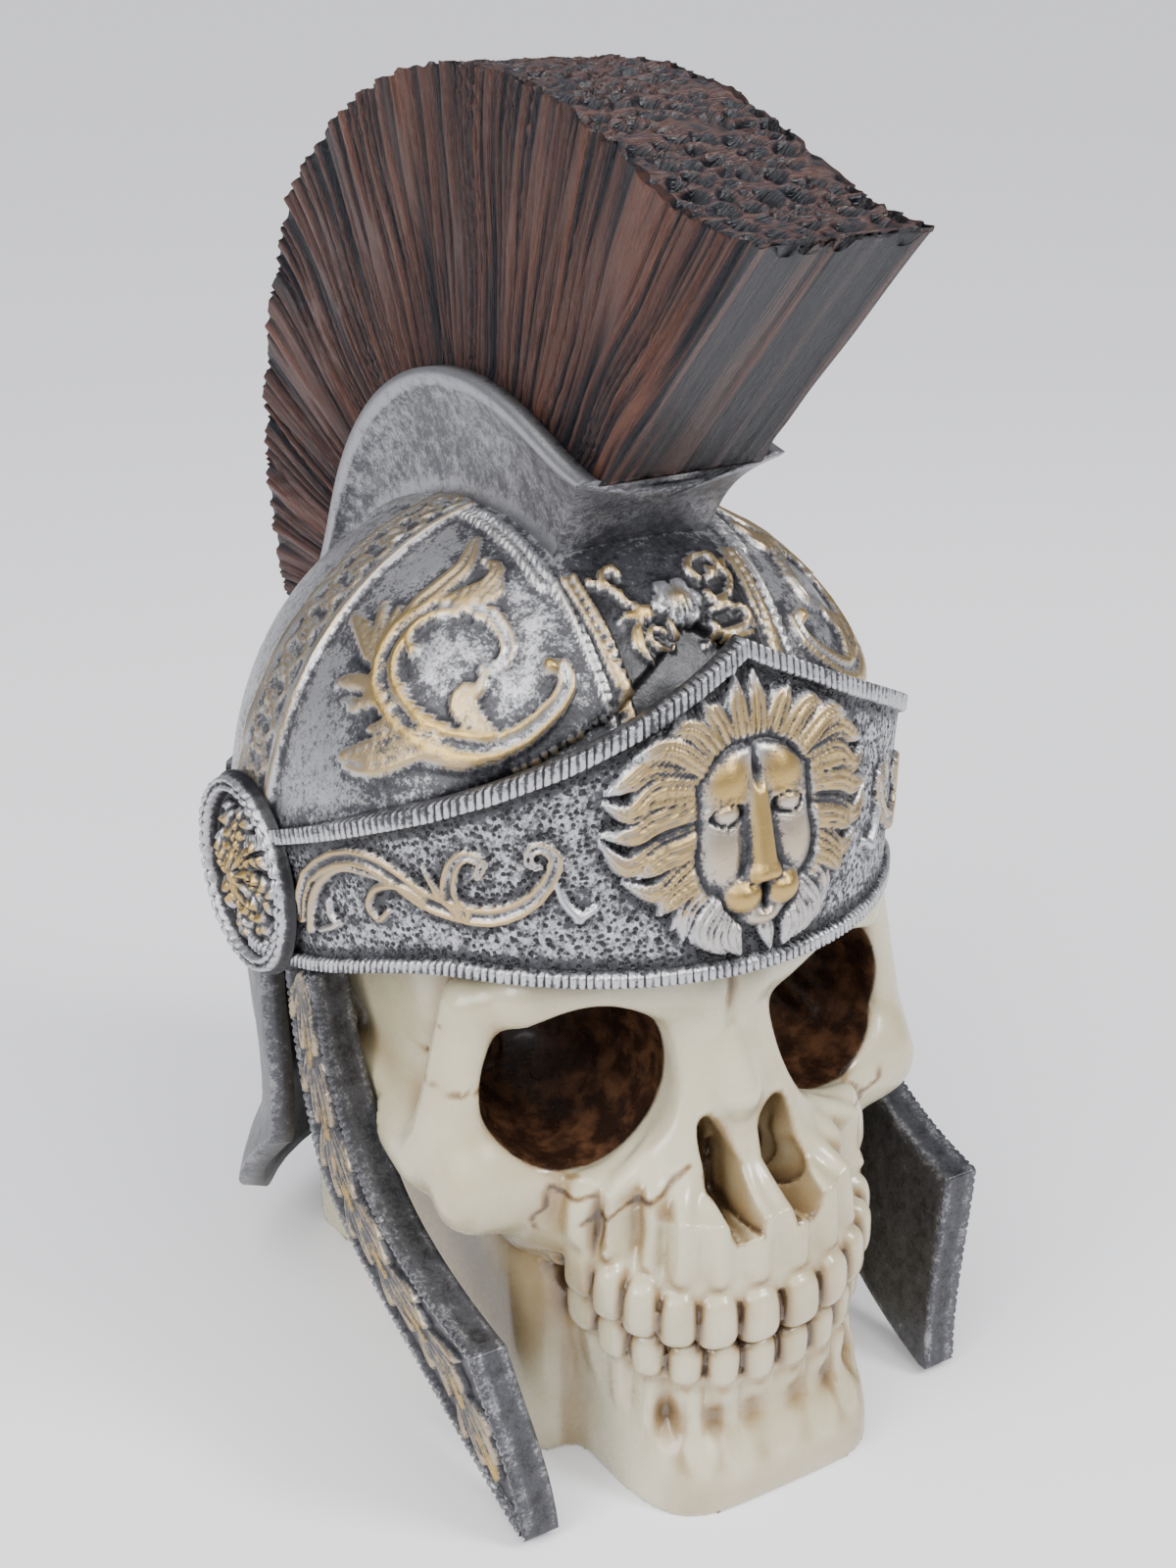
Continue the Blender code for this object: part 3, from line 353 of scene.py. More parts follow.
class Section(Enum):
    """The cross-section of a raised stroke."""

    ROUND = "round"
    HOLLOW = "hollow"
    FLAT = "flat"
    LEAF = "leaf"


@dataclass
class Relief:
    """Heights over a grid of surface points, with how much of each is gilt."""

    points: Array
    normals: Array
    wrap: Callable[[Array], Array]
    height: Array = field(init=False)
    gold: Array = field(init=False)

    def __post_init__(self) -> None:
        """Starts with a plain surface and no gilding."""
        self.height = np.zeros(self.points.shape[:-1])
        self.gold = np.zeros(self.points.shape[:-1])

    def lay(self, where: NDArray[np.bool_], height: Array, gold: float) -> None:
        """Keeps the higher of the old and new heights, and gilds the new forms' upper parts.

        Args:
            where: Which grid points the form covers.
            height: Its height at those points.
            gold: How gilt its upper part is, from 0 to 1.
        """
        old = self.height[where]
        higher = height > old
        self.height[where] = np.where(higher, height, old)
        top = max(float(height.max(initial=0.0)), 1e-6)
        gilt = gold * smooth_step(0.5, 0.8, height / top)
        self.gold[where] = np.where(higher, gilt, self.gold[where])

    def stroke(
        self,
        path: Path,
        width: float | Sequence[float],
        height: float,
        section: Section = Section.ROUND,
        gold: float = 1.0,
        grooves: int = 0,
        notch: float = 0.0,
    ) -> None:
        """Raises a stroke along a path of surface coordinates.

        Args:
            path: Surface coordinates, which are joined by a smooth curve.
            width: Half width in millimetres, or several, spread evenly along the path.
            height: Height of the stroke in millimetres.
            section: The cross-section.
            gold: How gilt it is, 0 to 1.
            grooves: Number of fine grooves that run along it.
            notch: Spacing of cuts across it in millimetres, or 0 for none.
        """
        line = self.wrap(smooth_path(path))
        width = np.atleast_1d(width)
        widths = np.interp(np.linspace(0, 1, len(line)), np.linspace(0, 1, len(width)), width)
        reach = widths.max() + 0.3
        low, high = line.min(0) - reach, line.max(0) + reach
        near = ((self.points > low) & (self.points < high)).all(-1)
        p, n = self.points[near], self.normals[near]
        run = np.concatenate([[0.0], np.cumsum(np.linalg.norm(np.diff(line, axis=0), axis=1))])
        best = np.full(len(p), 1e9)
        across, along = np.zeros(len(p)), np.zeros(len(p))
        for i in range(len(line) - 1):
            step = line[i + 1] - line[i]
            length = max(float(np.linalg.norm(step)), 1e-9)
            t = np.clip(((p - line[i]) @ step) / length**2, 0.0, 1.0)
            away = p - line[i] - t[:, None] * step
            away -= (away * n).sum(-1, keepdims=True) * n
            distance = np.linalg.norm(away, axis=-1)
            closer = distance < best
            side = np.sign((np.cross(n, step / length) * away).sum(-1))
            across = np.where(closer, side * distance, across)
            along = np.where(closer, run[i] + t * length, along)
            best = np.minimum(best, distance)
        half = np.interp(along, run, widths) + 1e-6
        q = np.clip(best / half, 0.0, 1.0)
        dome = np.sqrt(1.0 - q**2)
        shape = {
            Section.ROUND: dome,
            Section.HOLLOW: dome**0.5 * (1.0 - 0.75 * bell(q, 0.5)),
            Section.FLAT: smooth_step(1.0, 0.82, q),
            Section.LEAF: dome * (0.75 + 0.25 * q) - 0.25 * bell(q, 0.16),
        }[section]
        rise = height * shape * np.clip(half / max(widths.max(), 1e-6), 0.0, 1.0) ** 0.4
        if grooves:
            rise *= 1.0 - 0.3 * np.abs(np.sin(across / half * math.pi * grooves / 2.0)) ** 4
        if notch:
            rise *= 1.0 - 0.85 * np.maximum(np.cos(along / notch * math.tau), 0.0) ** 5
        self.lay(near, np.where(q < 1.0, rise, 0.0), gold)

    def mirrored(self, path: Path, width: float | Sequence[float], height: float, **options) -> None:
        """Raises a stroke and its mirror image across the middle.

        Args:
            path: Surface coordinates of one side.
            width: Half width, or several, spread evenly along the path.
            height: The stroke's height.
            options: Passed on to stroke.
        """
        for side in (1.0, -1.0):
            self.stroke([(side * a, b) for a, b in path], width, height, **options)


@dataclass
class Skin:
    """A closed surface as rings of points, from one end to the other, with each mask's value per point."""

    rings: Array
    masks: dict[str, Array]
    looped: bool = False

    def build(self, name: str, material: bpy.types.Material) -> bpy.types.Object:
        """Makes the mesh object: quads between rings, and a fan at each end unless the rings form a loop.

        Args:
            name: Name of the object.
            material: Its material.

        Returns:
            The object, smooth shaded, with its faces outward.
        """
        rows, columns = self.rings.shape[:2]
        points = self.rings.reshape(-1, 3)
        index = np.arange(rows * columns).reshape(rows, columns)
        low = index if self.looped else index[:-1]
        high = np.roll(index, -1, axis=0) if self.looped else index[1:]
        quads = [low, np.roll(low, -1, axis=1), np.roll(high, -1, axis=1), high]
        corners = np.stack(quads, -1).reshape(-1)
        starts = np.arange(0, len(corners), 4)
        values = {key: mask.reshape(-1) for key, mask in self.masks.items()}
        if not self.looped:
            ends = np.stack([self.rings[0].mean(0), self.rings[-1].mean(0)])
            first, last = rows * columns, rows * columns + 1
            points = np.vstack([points, ends])
            caps = [np.stack([np.full(columns, first), np.roll(index[0], -1), index[0]], -1)]
            caps.append(np.stack([np.full(columns, last), index[-1], np.roll(index[-1], -1)], -1))
            fan = np.concatenate(caps).reshape(-1)
            starts = np.concatenate([starts, len(corners) + np.arange(0, len(fan), 3)])
            corners = np.concatenate([corners, fan])
            ends_of = {key: (mask[0].mean(), mask[-1].mean()) for key, mask in self.masks.items()}
            values = {key: np.concatenate([value, ends_of[key]]) for key, value in values.items()}
        placed = (points + np.array([0.0, HELMET_Y, 0.0])) * MM
        return solid_object(name, placed, corners, starts, values, material)


def solid_object(
    name: str,
    placed: Array,
    corners: NDArray[np.int64],
    starts: NDArray[np.int64],
    values: dict[str, Array],
    material: bpy.types.Material,
) -> bpy.types.Object:
    """Makes a smooth-shaded mesh object with its faces outward.

    Args:
        name: Name of the object.
        placed: Its points, in metres.
        corners: Point numbers of all faces, one face after another.
        starts: Where each face starts among the corners.
        values: Point attributes by name.
        material: Its material.

    Returns:
        The object, linked to the scene.
    """
    counts = np.diff(np.append(starts, len(corners)))
    if signed_volume(placed, corners, starts) < 0.0:
        ends = np.repeat(starts + counts - 1, counts)
        corners = corners[ends - (np.arange(len(corners)) - np.repeat(starts, counts))]
    mesh = bpy.data.meshes.new(name)
    mesh.vertices.add(len(placed))
    mesh.vertices.foreach_set("co", placed.astype(np.float32).reshape(-1))
    mesh.loops.add(len(corners))
    mesh.loops.foreach_set("vertex_index", corners.astype(np.int32))
    mesh.polygons.add(len(starts))
    mesh.polygons.foreach_set("loop_start", starts.astype(np.int32))
    mesh.polygons.foreach_set("use_smooth", np.ones(len(starts), bool))
    mesh.update(calc_edges=True)
    mesh.validate()
    for key, value in values.items():
        layer = mesh.attributes.new(key, "FLOAT", "POINT")
        layer.data.foreach_set("value", value.astype(np.float32))
    mesh.materials.append(material)
    obj = bpy.data.objects.new(name, mesh)
    bpy.context.scene.collection.objects.link(obj)
    LOG.info("%s: %d triangles", name, int((counts - 2).sum()))
    return obj


def signed_volume(points: Array, corners: NDArray[np.int64], starts: NDArray[np.int64]) -> float:
    """The volume inside a closed mesh, negative where its faces point inwards."""
    counts = np.diff(np.append(starts, len(corners)))
    a, b, c = points[corners[starts]], points[corners[starts + 1]], points[corners[starts + 2]]
    total = (a * np.cross(b, c)).sum()
    d = points[corners[starts[counts == 4] + 3]]
    quads = counts == 4
    total += (a[quads] * np.cross(c[quads], d)).sum()
    return float(total) / 6.0


# Finishes


class Graph:
    """A short way to write a shader node tree."""

    def __init__(self, name: str) -> None:
        """Makes a material with the name and finds its shader."""
        self.material = bpy.data.materials.new(name)
        self.material.use_nodes = True
        self.tree = self.material.node_tree
        self.shader = self.tree.nodes["Principled BSDF"]

    def node(self, kind: str, settings: dict | None = None, **inputs) -> bpy.types.Node:
        """Adds a node.

        Args:
            kind: Blender's name for the node.
            settings: The node's own properties.
            inputs: A value or another node's socket for each input, by name or as _ and its number.

        Returns:
            The node.
        """
        made = self.tree.nodes.new(kind)
        for key, value in (settings or {}).items():
            setattr(made, key, value)
        for key, value in inputs.items():
            self.put(made.inputs[int(key[1:]) if key[1:].isdigit() else key.replace("_", " ")], value)
        return made

    def put(self, socket: bpy.types.NodeSocket, value) -> None:
        """Links or sets one input."""
        if isinstance(value, bpy.types.NodeSocket):
            self.tree.links.new(value, socket)
        else:
            socket.default_value = value

    def mask(self, name: str) -> bpy.types.NodeSocket:
        """A point attribute of the mesh."""
        return self.node("ShaderNodeAttribute", {"attribute_name": name}).outputs["Fac"]

    def place(self) -> bpy.types.NodeSocket:
        """Object coordinates, in metres."""
        return self.node("ShaderNodeTexCoord").outputs["Object"]

    def noise(self, scale: float, detail: float = 3.0, rough: float = 0.6, at=None) -> bpy.types.NodeSocket:
        """Noise from 0 to 1.

        Args:
            scale: How many features fit in a metre, about.
            detail: How many finer layers are added.
            rough: How strong the finer layers are.
            at: The coordinates to use in place of the object's own.

        Returns:
            The noise.
        """
        made = self.node("ShaderNodeTexNoise", Vector=at or self.place(), Scale=scale, Detail=detail)
        made.inputs["Roughness"].default_value = rough
        return made.outputs["Fac"]

    def math(self, operation: str, a, b=0.0) -> bpy.types.NodeSocket:
        """One arithmetic step by Blender's name for it, on values or sockets."""
        return self.node("ShaderNodeMath", {"operation": operation}, _0=a, _1=b).outputs[0]

    def swing(self, noise, amount: float) -> bpy.types.NodeSocket:
        """A noise centred on 0 and scaled."""
        return self.math("MULTIPLY", self.math("SUBTRACT", noise, 0.5), amount)

    def ramp(self, value, low: float, high: float) -> bpy.types.NodeSocket:
        """A smooth rise from 0 at low to 1 at high."""
        made = self.node("ShaderNodeMapRange", {"interpolation_type": "SMOOTHSTEP"}, Value=value)
        made.inputs["From Min"].default_value = low
        made.inputs["From Max"].default_value = high
        return made.outputs["Result"]

    def mix(self, share, first, second) -> bpy.types.NodeSocket:
        """A colour between two, where share is 0 for the first and 1 for the second."""
        made = self.node("ShaderNodeMix", {"data_type": "RGBA"})
        self.put(made.inputs[0], share)
        self.put(made.inputs[6], first)
        self.put(made.inputs[7], second)
        return made.outputs[2]

    def bump(self, height, distance: float, strength: float) -> bpy.types.NodeSocket:
        """Roughens the normal by a height, whose scale is the distance in metres."""
        made = self.node("ShaderNodeBump", Height=height, Distance=distance, Strength=strength)
        return made.outputs["Normal"]


@dataclass(frozen=True)
class AntiqueMetal:
    """Silver and gold rubbed over black: recesses stay dark, and raised parts shine."""

    name: str = "antique_silver"
    silver: tuple[float, float, float, float] = (0.52, 0.52, 0.54, 1.0)
    gold: tuple[float, float, float, float] = (0.47, 0.32, 0.115, 1.0)
    graphite: tuple[float, float, float, float] = (0.045, 0.045, 0.052, 1.0)
    dark: tuple[float, float, float, float] = (0.008, 0.008, 0.010, 1.0)
    worn_from: float = 0.40
    worn_to: float = 0.72
    speckle: float = 0.8
    pits: float = 0.0

    def material(self) -> bpy.types.Material:
        """Builds the material. Masks wear and gold come from the mesh."""
        g = Graph(self.name)
        grain = g.noise(1500.0, 3.0, 0.75)
        broad = g.noise(160.0, 6.0, 0.75)
        patch = g.noise(45.0, 3.0, 0.6)
        fleck = g.noise(520.0, 3.0, 0.7)
        wear = g.mask("wear")
        for noise, amount in ((grain, 0.9), (fleck, 0.9), (broad, 0.5), (patch, 0.3)):
            wear = g.math("ADD", wear, g.swing(noise, self.speckle * amount))
        height = g.math("ADD", grain, g.math("MULTIPLY", broad, 2.0))
        if self.pits:
            holes = g.node("ShaderNodeTexVoronoi", Vector=g.place(), Scale=self.pits)
            pit = g.math("SUBTRACT", 1.0, g.ramp(holes.outputs["Distance"], 0.22, 0.46))
            masked = g.math("MULTIPLY", pit, g.mask("stipple"))
            wear = g.math("SUBTRACT", wear, g.math("MULTIPLY", masked, 0.42))
            height = g.math("SUBTRACT", height, g.math("MULTIPLY", masked, 5.0))
        metal = g.mix(g.mask("gold"), self.silver, self.gold)
        shadow = g.mix(g.ramp(wear, 0.05, self.worn_from), self.dark, self.graphite)
        bright = g.ramp(wear, self.worn_from, self.worn_to)
        g.put(g.shader.inputs["Base Color"], g.mix(bright, shadow, metal))
        g.put(g.shader.inputs["Metallic"], g.math("ADD", 0.15, g.math("MULTIPLY", bright, 0.72)))
        g.put(g.shader.inputs["Roughness"], g.math("ADD", 0.22, g.math("MULTIPLY", broad, 0.26)))
        g.put(g.shader.inputs["Normal"], g.bump(height, 0.00014, 0.6))
        return g.material


@dataclass(frozen=True)
class AntiqueBone:
    """Glossy ivory with a brown wash and painted shade, both gathering in the recesses."""

    name: str = "bone"
    ivory: tuple[float, float, float, float] = (0.60, 0.55, 0.39, 1.0)
    cream: tuple[float, float, float, float] = (0.50, 0.44, 0.28, 1.0)
    tan: tuple[float, float, float, float] = (0.30, 0.20, 0.09, 1.0)
    # The darkest wash colour, where the real wash and the painted shade in the recesses are heaviest.
    wash_and_shade: tuple[float, float, float, float] = (0.065, 0.030, 0.013, 1.0)
    umber: tuple[float, float, float, float] = (0.022, 0.010, 0.006, 1.0)
    russet: tuple[float, float, float, float] = (0.11, 0.050, 0.024, 1.0)

    def material(self) -> bpy.types.Material:
        """Builds the material. The masks come from the mesh: one for the brown wash with its painted shade
        in the recesses, one for the sockets.
        """
        g = Graph(self.name)
        patch = g.noise(28.0, 4.0, 0.6)
        fine = g.noise(420.0, 3.0, 0.6)
        base = g.mix(g.ramp(patch, 0.35, 0.7), self.ivory, self.cream)
        # The stain is the brown wash together with painted shade from the recesses, broken up by noise.
        stain_and_shade = g.math("ADD", g.math("ADD", g.mask("wash_and_shade"), g.swing(patch, 0.45)), g.swing(fine, 0.12))
        tan = g.mix(g.ramp(stain_and_shade, 0.45, 1.15), self.tan, self.wash_and_shade)
        colour = g.mix(g.math("MULTIPLY", g.ramp(stain_and_shade, 0.02, 0.62), 0.95), base, tan)
        deep = g.ramp(g.math("ADD", g.mask("socket"), g.swing(fine, 0.25)), 0.3, 0.8)
        glaze = g.mix(g.ramp(g.noise(190.0, 4.0, 0.6), 0.40, 0.72), self.umber, self.russet)
        colour = g.mix(deep, colour, glaze)
        g.put(g.shader.inputs["Base Color"], colour)
        g.put(g.shader.inputs["Roughness"], g.math("ADD", 0.22, g.math("MULTIPLY", fine, 0.12)))
        g.shader.inputs["Coat Weight"].default_value = 0.4
        g.shader.inputs["Coat Roughness"].default_value = 0.12
        g.shader.inputs["Subsurface Weight"].default_value = 0.06
        g.shader.inputs["Subsurface Radius"].default_value = (0.004, 0.003, 0.002)
        g.put(g.shader.inputs["Normal"], g.bump(fine, 0.00008, 0.5))
        return g.material


@dataclass(frozen=True)
class Bristle:
    """Red-brown rubbed over blue-black strands."""

    name: str = "bristle"
    ridge: tuple[float, float, float, float] = (0.095, 0.041, 0.030, 1.0)
    rust: tuple[float, float, float, float] = (0.17, 0.064, 0.036, 1.0)
    groove: tuple[float, float, float, float] = (0.009, 0.010, 0.015, 1.0)

    def material(self) -> bpy.types.Material:
        """Builds the material. Masks wear, rust, lie and reach come from the mesh: lie numbers the strands,
        and reach runs along them."""
        g = Graph(self.name)
        along = g.node("ShaderNodeCombineXYZ", X=g.math("MULTIPLY", g.mask("lie"), 3.6),
                       Y=g.math("MULTIPLY", g.mask("reach"), 0.035)).outputs[0]
        hair = g.noise(1.0, 4.0, 0.7, along)
        fine = g.noise(800.0, 3.0, 0.6)
        wear = g.math("ADD", g.math("ADD", g.mask("wear"), g.swing(hair, 0.8)), g.swing(fine, 0.2))
        red = g.mix(g.mask("rust"), self.ridge, self.rust)
        g.put(g.shader.inputs["Base Color"], g.mix(g.ramp(wear, 0.32, 0.88), self.groove, red))
        g.shader.inputs["Roughness"].default_value = 0.34
        height = g.math("ADD", g.math("MULTIPLY", hair, 4.0), fine)
        g.put(g.shader.inputs["Normal"], g.bump(height, 0.00035, 0.9))
        return g.material


# The helmet


def finish_relief(relief: Relief, rings: Array, reach: int, scale: float) -> tuple[Array, Array]:
    """Adds a relief to its surface, and works out its wear from the height over its surroundings.

    Args:
        relief: The relief, over all or the first rows of the rings.
        rings: The surface's rings, which are not changed.
        reach: Samples each way of the surroundings.
        scale: The height difference in millimetres that counts as fully raised or sunk.

    Returns:
        The moved rings and the wear mask.
    """
    over = relief.height - blurred(relief.height, reach)
    wear = np.clip(0.5 + over / scale * 0.5, 0.0, 1.0)
    return rings + relief.normals * relief.height[..., None], wear


@dataclass
class Dome:
    """The dome with its scrolls, straps and flower panel, and the cavity inside it."""

    material: bpy.types.Material
    columns: int = 560
    outer_rows: int = 124
    inner_rows: int = 12

    def rings(self) -> Array:
        """Outside from the crown down to the band's lower edge, then back up inside."""
        turn = np.linspace(0.0, math.tau, self.columns, endpoint=False)
        angle = turn - math.pi
        angle = angle - 0.22 * np.sin(angle)
        polar = np.linspace(0.012, math.pi / 2.0, self.outer_rows - 4)[:, None]
        level = np.sin(polar), np.cos(polar)
        outer = dome_from(np.stack(np.broadcast_arrays(np.sin(angle) * level[0], -np.cos(angle) * level[0],
                                                       level[1] + 0.0 * angle), -1))
        low = band_low_z(angle) + 0.6
        drop = low - DOME_CENTRE[2]
        wall = [dome_ring(angle, DOME_CENTRE[2] + drop * s) for s in (0.25, 0.5, 0.75, 1.0)]
        inner = [dome_ring(angle, low, WALL + 1.0)]
        for step in range(1, self.inner_rows):
            share = math.cos(math.pi / 2.0 * (1.0 - step / self.inner_rows))
            inner.append(dome_ring(angle, DOME_CENTRE[2] + (DOME_RISE - WALL) * share + 0.0 * angle, WALL))
        outer = np.concatenate([outer, np.stack(wall)])
        bearing = np.arctan2(outer[..., 0] / BAND_HALF_WIDTH, -outer[..., 1] / BAND_DEPTH)
        under = smooth_step(0.5, 3.0, band_top_z(bearing) - outer[..., 2])
        under = under * smooth_step(98.0, 90.0, np.abs(np.degrees(bearing)))
        outer[..., :2] *= 1.0 - 0.055 * under[..., None]
        return np.concatenate([outer, np.stack(inner)])

    def ornament(self, relief: Relief) -> None:
        """Lays the scrolls, straps and flower on the dome, in degrees of azimuth and elevation."""
        hollow, leaf, flat = Section.HOLLOW, Section.LEAF, Section.FLAT
        stem = [(48.4, 46.0), (44.4, 47.2), (43.6, 50.0), (47.6, 54.0), (56.0, 55.6), (64.4, 54.4),
                (69.6, 50.8), (70.8, 46.4), (69.2, 42.4), (65.2, 39.2), (59.6, 36.8), (52.8, 35.2),
                (46.0, 34.8), (40.0, 36.4), (34.8, 40.0), (31.2, 43.6), (31.2, 46.8), (33.6, 47.6)]
        relief.mirrored(stem, [1.0, 1.5, 1.9, 2.6, 3.3, 3.1, 2.4, 1.8, 1.4], 2.3, section=hollow)
        relief.mirrored([(64.4, 42.0), (61.6, 39.2), (56.4, 36.8), (46.4, 36.0)], [0.6, 1.0, 0.8], 1.8)
        upper_curl = [(64.8, 47.2), (66.8, 48.4), (67.6, 50.8), (64.4, 53.2), (57.6, 54.0)]
        relief.mirrored(upper_curl, [1.2, 0.8, 0.6], 1.8)
        leaves = [
            ([(72.0, 48.8), (69.6, 53.6), (66.0, 58.0), (63.2, 62.4), (66.4, 67.6)], 2.4),
            ([(65.2, 55.2), (59.2, 57.2), (53.2, 59.6), (52.4, 62.8), (58.0, 64.0)], 1.5),
            ([(63.2, 55.2), (56.4, 56.4), (50.0, 58.0), (49.6, 60.4)], 1.4),
            ([(69.6, 43.6), (75.2, 45.6), (82.0, 48.4), (88.0, 49.6)], 2.0),
            ([(73.6, 45.6), (76.4, 49.2), (80.8, 53.2)], 1.4),
            ([(72.0, 45.2), (73.2, 50.0), (74.8, 53.2)], 1.3),
            ([(65.6, 39.6), (71.2, 40.8), (76.8, 40.8), (81.2, 39.6)], 1.6),
            ([(64.4, 38.8), (70.0, 38.8), (73.6, 37.6), (77.6, 37.6)], 1.3),
            ([(42.4, 34.0), (49.2, 32.8), (56.8, 33.6), (64.0, 30.4), (69.6, 29.2), (73.2, 29.6)], 2.3),
            ([(52.8, 34.4), (59.2, 35.2), (65.2, 33.2), (73.2, 30.0)], 1.9),
            ([(62.4, 37.6), (66.0, 35.6), (68.8, 34.8)], 1.2),
            ([(45.6, 36.0), (50.0, 38.4), (52.0, 40.8), (50.8, 42.8), (48.0, 42.8), (47.6, 45.6)], 1.4),
            ([(42.8, 36.4), (47.2, 38.8), (49.6, 41.6), (48.4, 44.0)], 1.2),
        ]
        for path, width in leaves:
            widths = [width * 0.6, width * 1.2, width * 1.1, width * 0.6]
            relief.mirrored(path, widths, 1.9, section=leaf, gold=0.8)
        relief.mirrored([(33.8, 47.0), (34.4, 47.4)], 1.5, 2.4)
        for edge, width, gold in ((20.4, 1.1, 0.0), (22.6, 1.0, 0.15)):
            along = [(edge, y) for y in np.linspace(-34.0, 66.0, 9)]
            self.plan_stroke(relief, along, width, 1.3, notch=1.5, gold=gold)
        self.plan_stroke(relief, [(17.6, -34.0), (17.4, -44.0), (17.2, -54.0), (17.0, -60.0)], 1.8, 1.3,
                         section=flat, notch=2.1, gold=0.8)
        self.plan_stroke(relief, [(20.6, -34.0), (20.6, -44.0), (20.4, -54.0), (20.2, -60.0)], 1.1, 1.8,
                         notch=2.0, gold=0.2)
        self.ear_strap(relief)
        self.flower(relief)

    def plan_stroke(self, relief: Relief, path: Path, width: float, height: float, **options) -> None:
        """A stroke given by places in plan, on both sides of the middle.

        Args:
            relief: The dome's relief.
            path: Places in x and y on one side, in millimetres.
            width: Half width.
            height: The stroke's height.
            options: Passed on to stroke.
        """
        for side in (1.0, -1.0):
            points = dome_above(*np.array([(side * x, y) for x, y in path]).T)
            away = points - DOME_CENTRE
            azimuth = np.degrees(np.arctan2(away[:, 0], -away[:, 1]))
            elevation = np.degrees(np.arctan2(away[:, 2], np.hypot(away[:, 0], away[:, 1])))
            relief.stroke(list(zip(azimuth, elevation)), width, height, **options)

    def ear_strap(self, relief: Relief) -> None:
        """The raised strap from ear to ear: roped borders and an interlace of crossing bands."""
        p = relief.points
        side = np.abs(p[..., 0]) > 18.5
        height = np.maximum(p[..., 2] - DOME_CENTRE[2], 0.0)
        middle = 8.0 - 4.0 * smooth_step(30.0, 75.0, height)
        arc = np.arctan2(height, np.abs(p[..., 0])) * 68.0
        v = (p[..., 1] - middle) / (9.6 - 2.0 * smooth_step(20.0, 80.0, arc))
        inside = side & (np.abs(v) < 1.0) & (p[..., 2] > DOME_CENTRE[2])
        base = 1.1 * smooth_step(1.0, 0.94, np.abs(v))
        border = bell(np.abs(v) - 0.88, 0.07) * 0.9 + bell(np.abs(v) - 0.70, 0.05) * 0.6
        turn = arc / 15.0 * math.tau
        first, second = v - 0.52 * np.sin(turn), v + 0.52 * np.sin(turn)
        weave = bell(first, 0.11) * (0.9 + 0.25 * np.cos(turn))
        weave = np.maximum(weave, bell(second, 0.11) * (0.9 - 0.25 * np.cos(turn)))
        ring = np.hypot(v * 8.6, (arc + 3.75) % 7.5 - 3.75)
        weave = np.maximum(weave, bell(ring - 2.2, 0.55) * 0.9)
        weave *= np.abs(v) < 0.66
        rise = base * 0.55 + border + weave * 0.95
        relief.lay(inside, rise[inside], 0.75)
        relief.gold[inside] *= smooth_step(0.7, 1.1, rise[inside])

    def flower(self, relief: Relief) -> None:
        """The flower between the front straps, with rings and leaves at the panel's corners."""
        hollow, leaf = Section.HOLLOW, Section.LEAF
        centre = dome_angles(np.array(0.0), np.array(56.8))
        right = np.array([1.0, 0.0, 0.0])
        up = np.cross(np.array([0.0, -0.62, 0.78]), right)
        p = relief.points
        x, y = (p - centre) @ right, (p - centre) @ -up
        r, a = np.hypot(x, y), np.arctan2(y, x)
        reach = 5.6 * (0.72 + 0.28 * np.abs(np.cos(a * 3.0))) + 1e-6
        near = (np.linalg.norm(p - centre, axis=-1) < 8.0) & (r < reach)
        petal = 1.7 * np.sqrt(np.clip(1.0 - (r / reach) ** 4, 0.0, 1.0))
        petal *= 1.0 - 0.55 * bell(r - 3.4, 1.1) * np.abs(np.cos(a * 3.0)) ** 2
        petal -= 0.8 * bell(np.cos(a * 3.0), 0.22)
        petal = np.maximum(petal, 2.4 * np.sqrt(np.clip(1.0 - (r / 1.7) ** 2, 0.0, 1.0)))
        relief.lay(near, np.maximum(petal[near], 0.0), 0.8)
        rings = [
            [(-7.2, 52.0), (-10.0, 52.8), (-11.6, 51.2), (-8.8, 49.6), (-4.8, 50.4), (-5.2, 53.6)],
            [(10.4, 59.2), (9.2, 61.6), (14.0, 63.2), (20.4, 62.8), (20.0, 60.4), (14.0, 59.2)],
            [(16.0, 60.4), (20.8, 59.6), (20.4, 57.6), (16.0, 55.6), (11.2, 55.2), (10.0, 56.8)],
            [(8.4, 54.0), (12.8, 54.0), (17.6, 52.8), (17.6, 51.2), (13.2, 50.0), (8.0, 50.4), (6.4, 52.0)],
            [(-16.0, 59.2), (-19.2, 60.4), (-20.4, 62.4), (-16.4, 63.6), (-14.8, 62.4)],
            [(-9.6, 56.0), (-14.4, 57.2), (-17.6, 59.6), (-24.4, 61.2)],
        ]
        for ring in rings:
            relief.stroke(ring, 0.8, 1.5, gold=0.85)
        leaves = [
            ([(-11.6, 54.8), (-14.0, 52.4), (-14.0, 50.0), (-12.0, 47.6)], [0.6, 1.5, 0.5], 1.7, leaf),
            ([(-10.0, 55.2), (-14.8, 55.2), (-18.4, 54.0)], [1.4, 1.2, 0.3], 1.4, leaf),
            ([(18.8, 52.0), (16.8, 49.6), (9.6, 49.2), (4.0, 49.2)], [0.4, 1.2, 0.9], 1.5, hollow),
            ([(20.8, 60.8), (22.6, 60.4), (28.0, 61.2)], [1.2, 1.0, 0.3], 1.4, leaf),
        ]
        for path, width, height, section in leaves:
            relief.stroke(path, width, height, section=section)

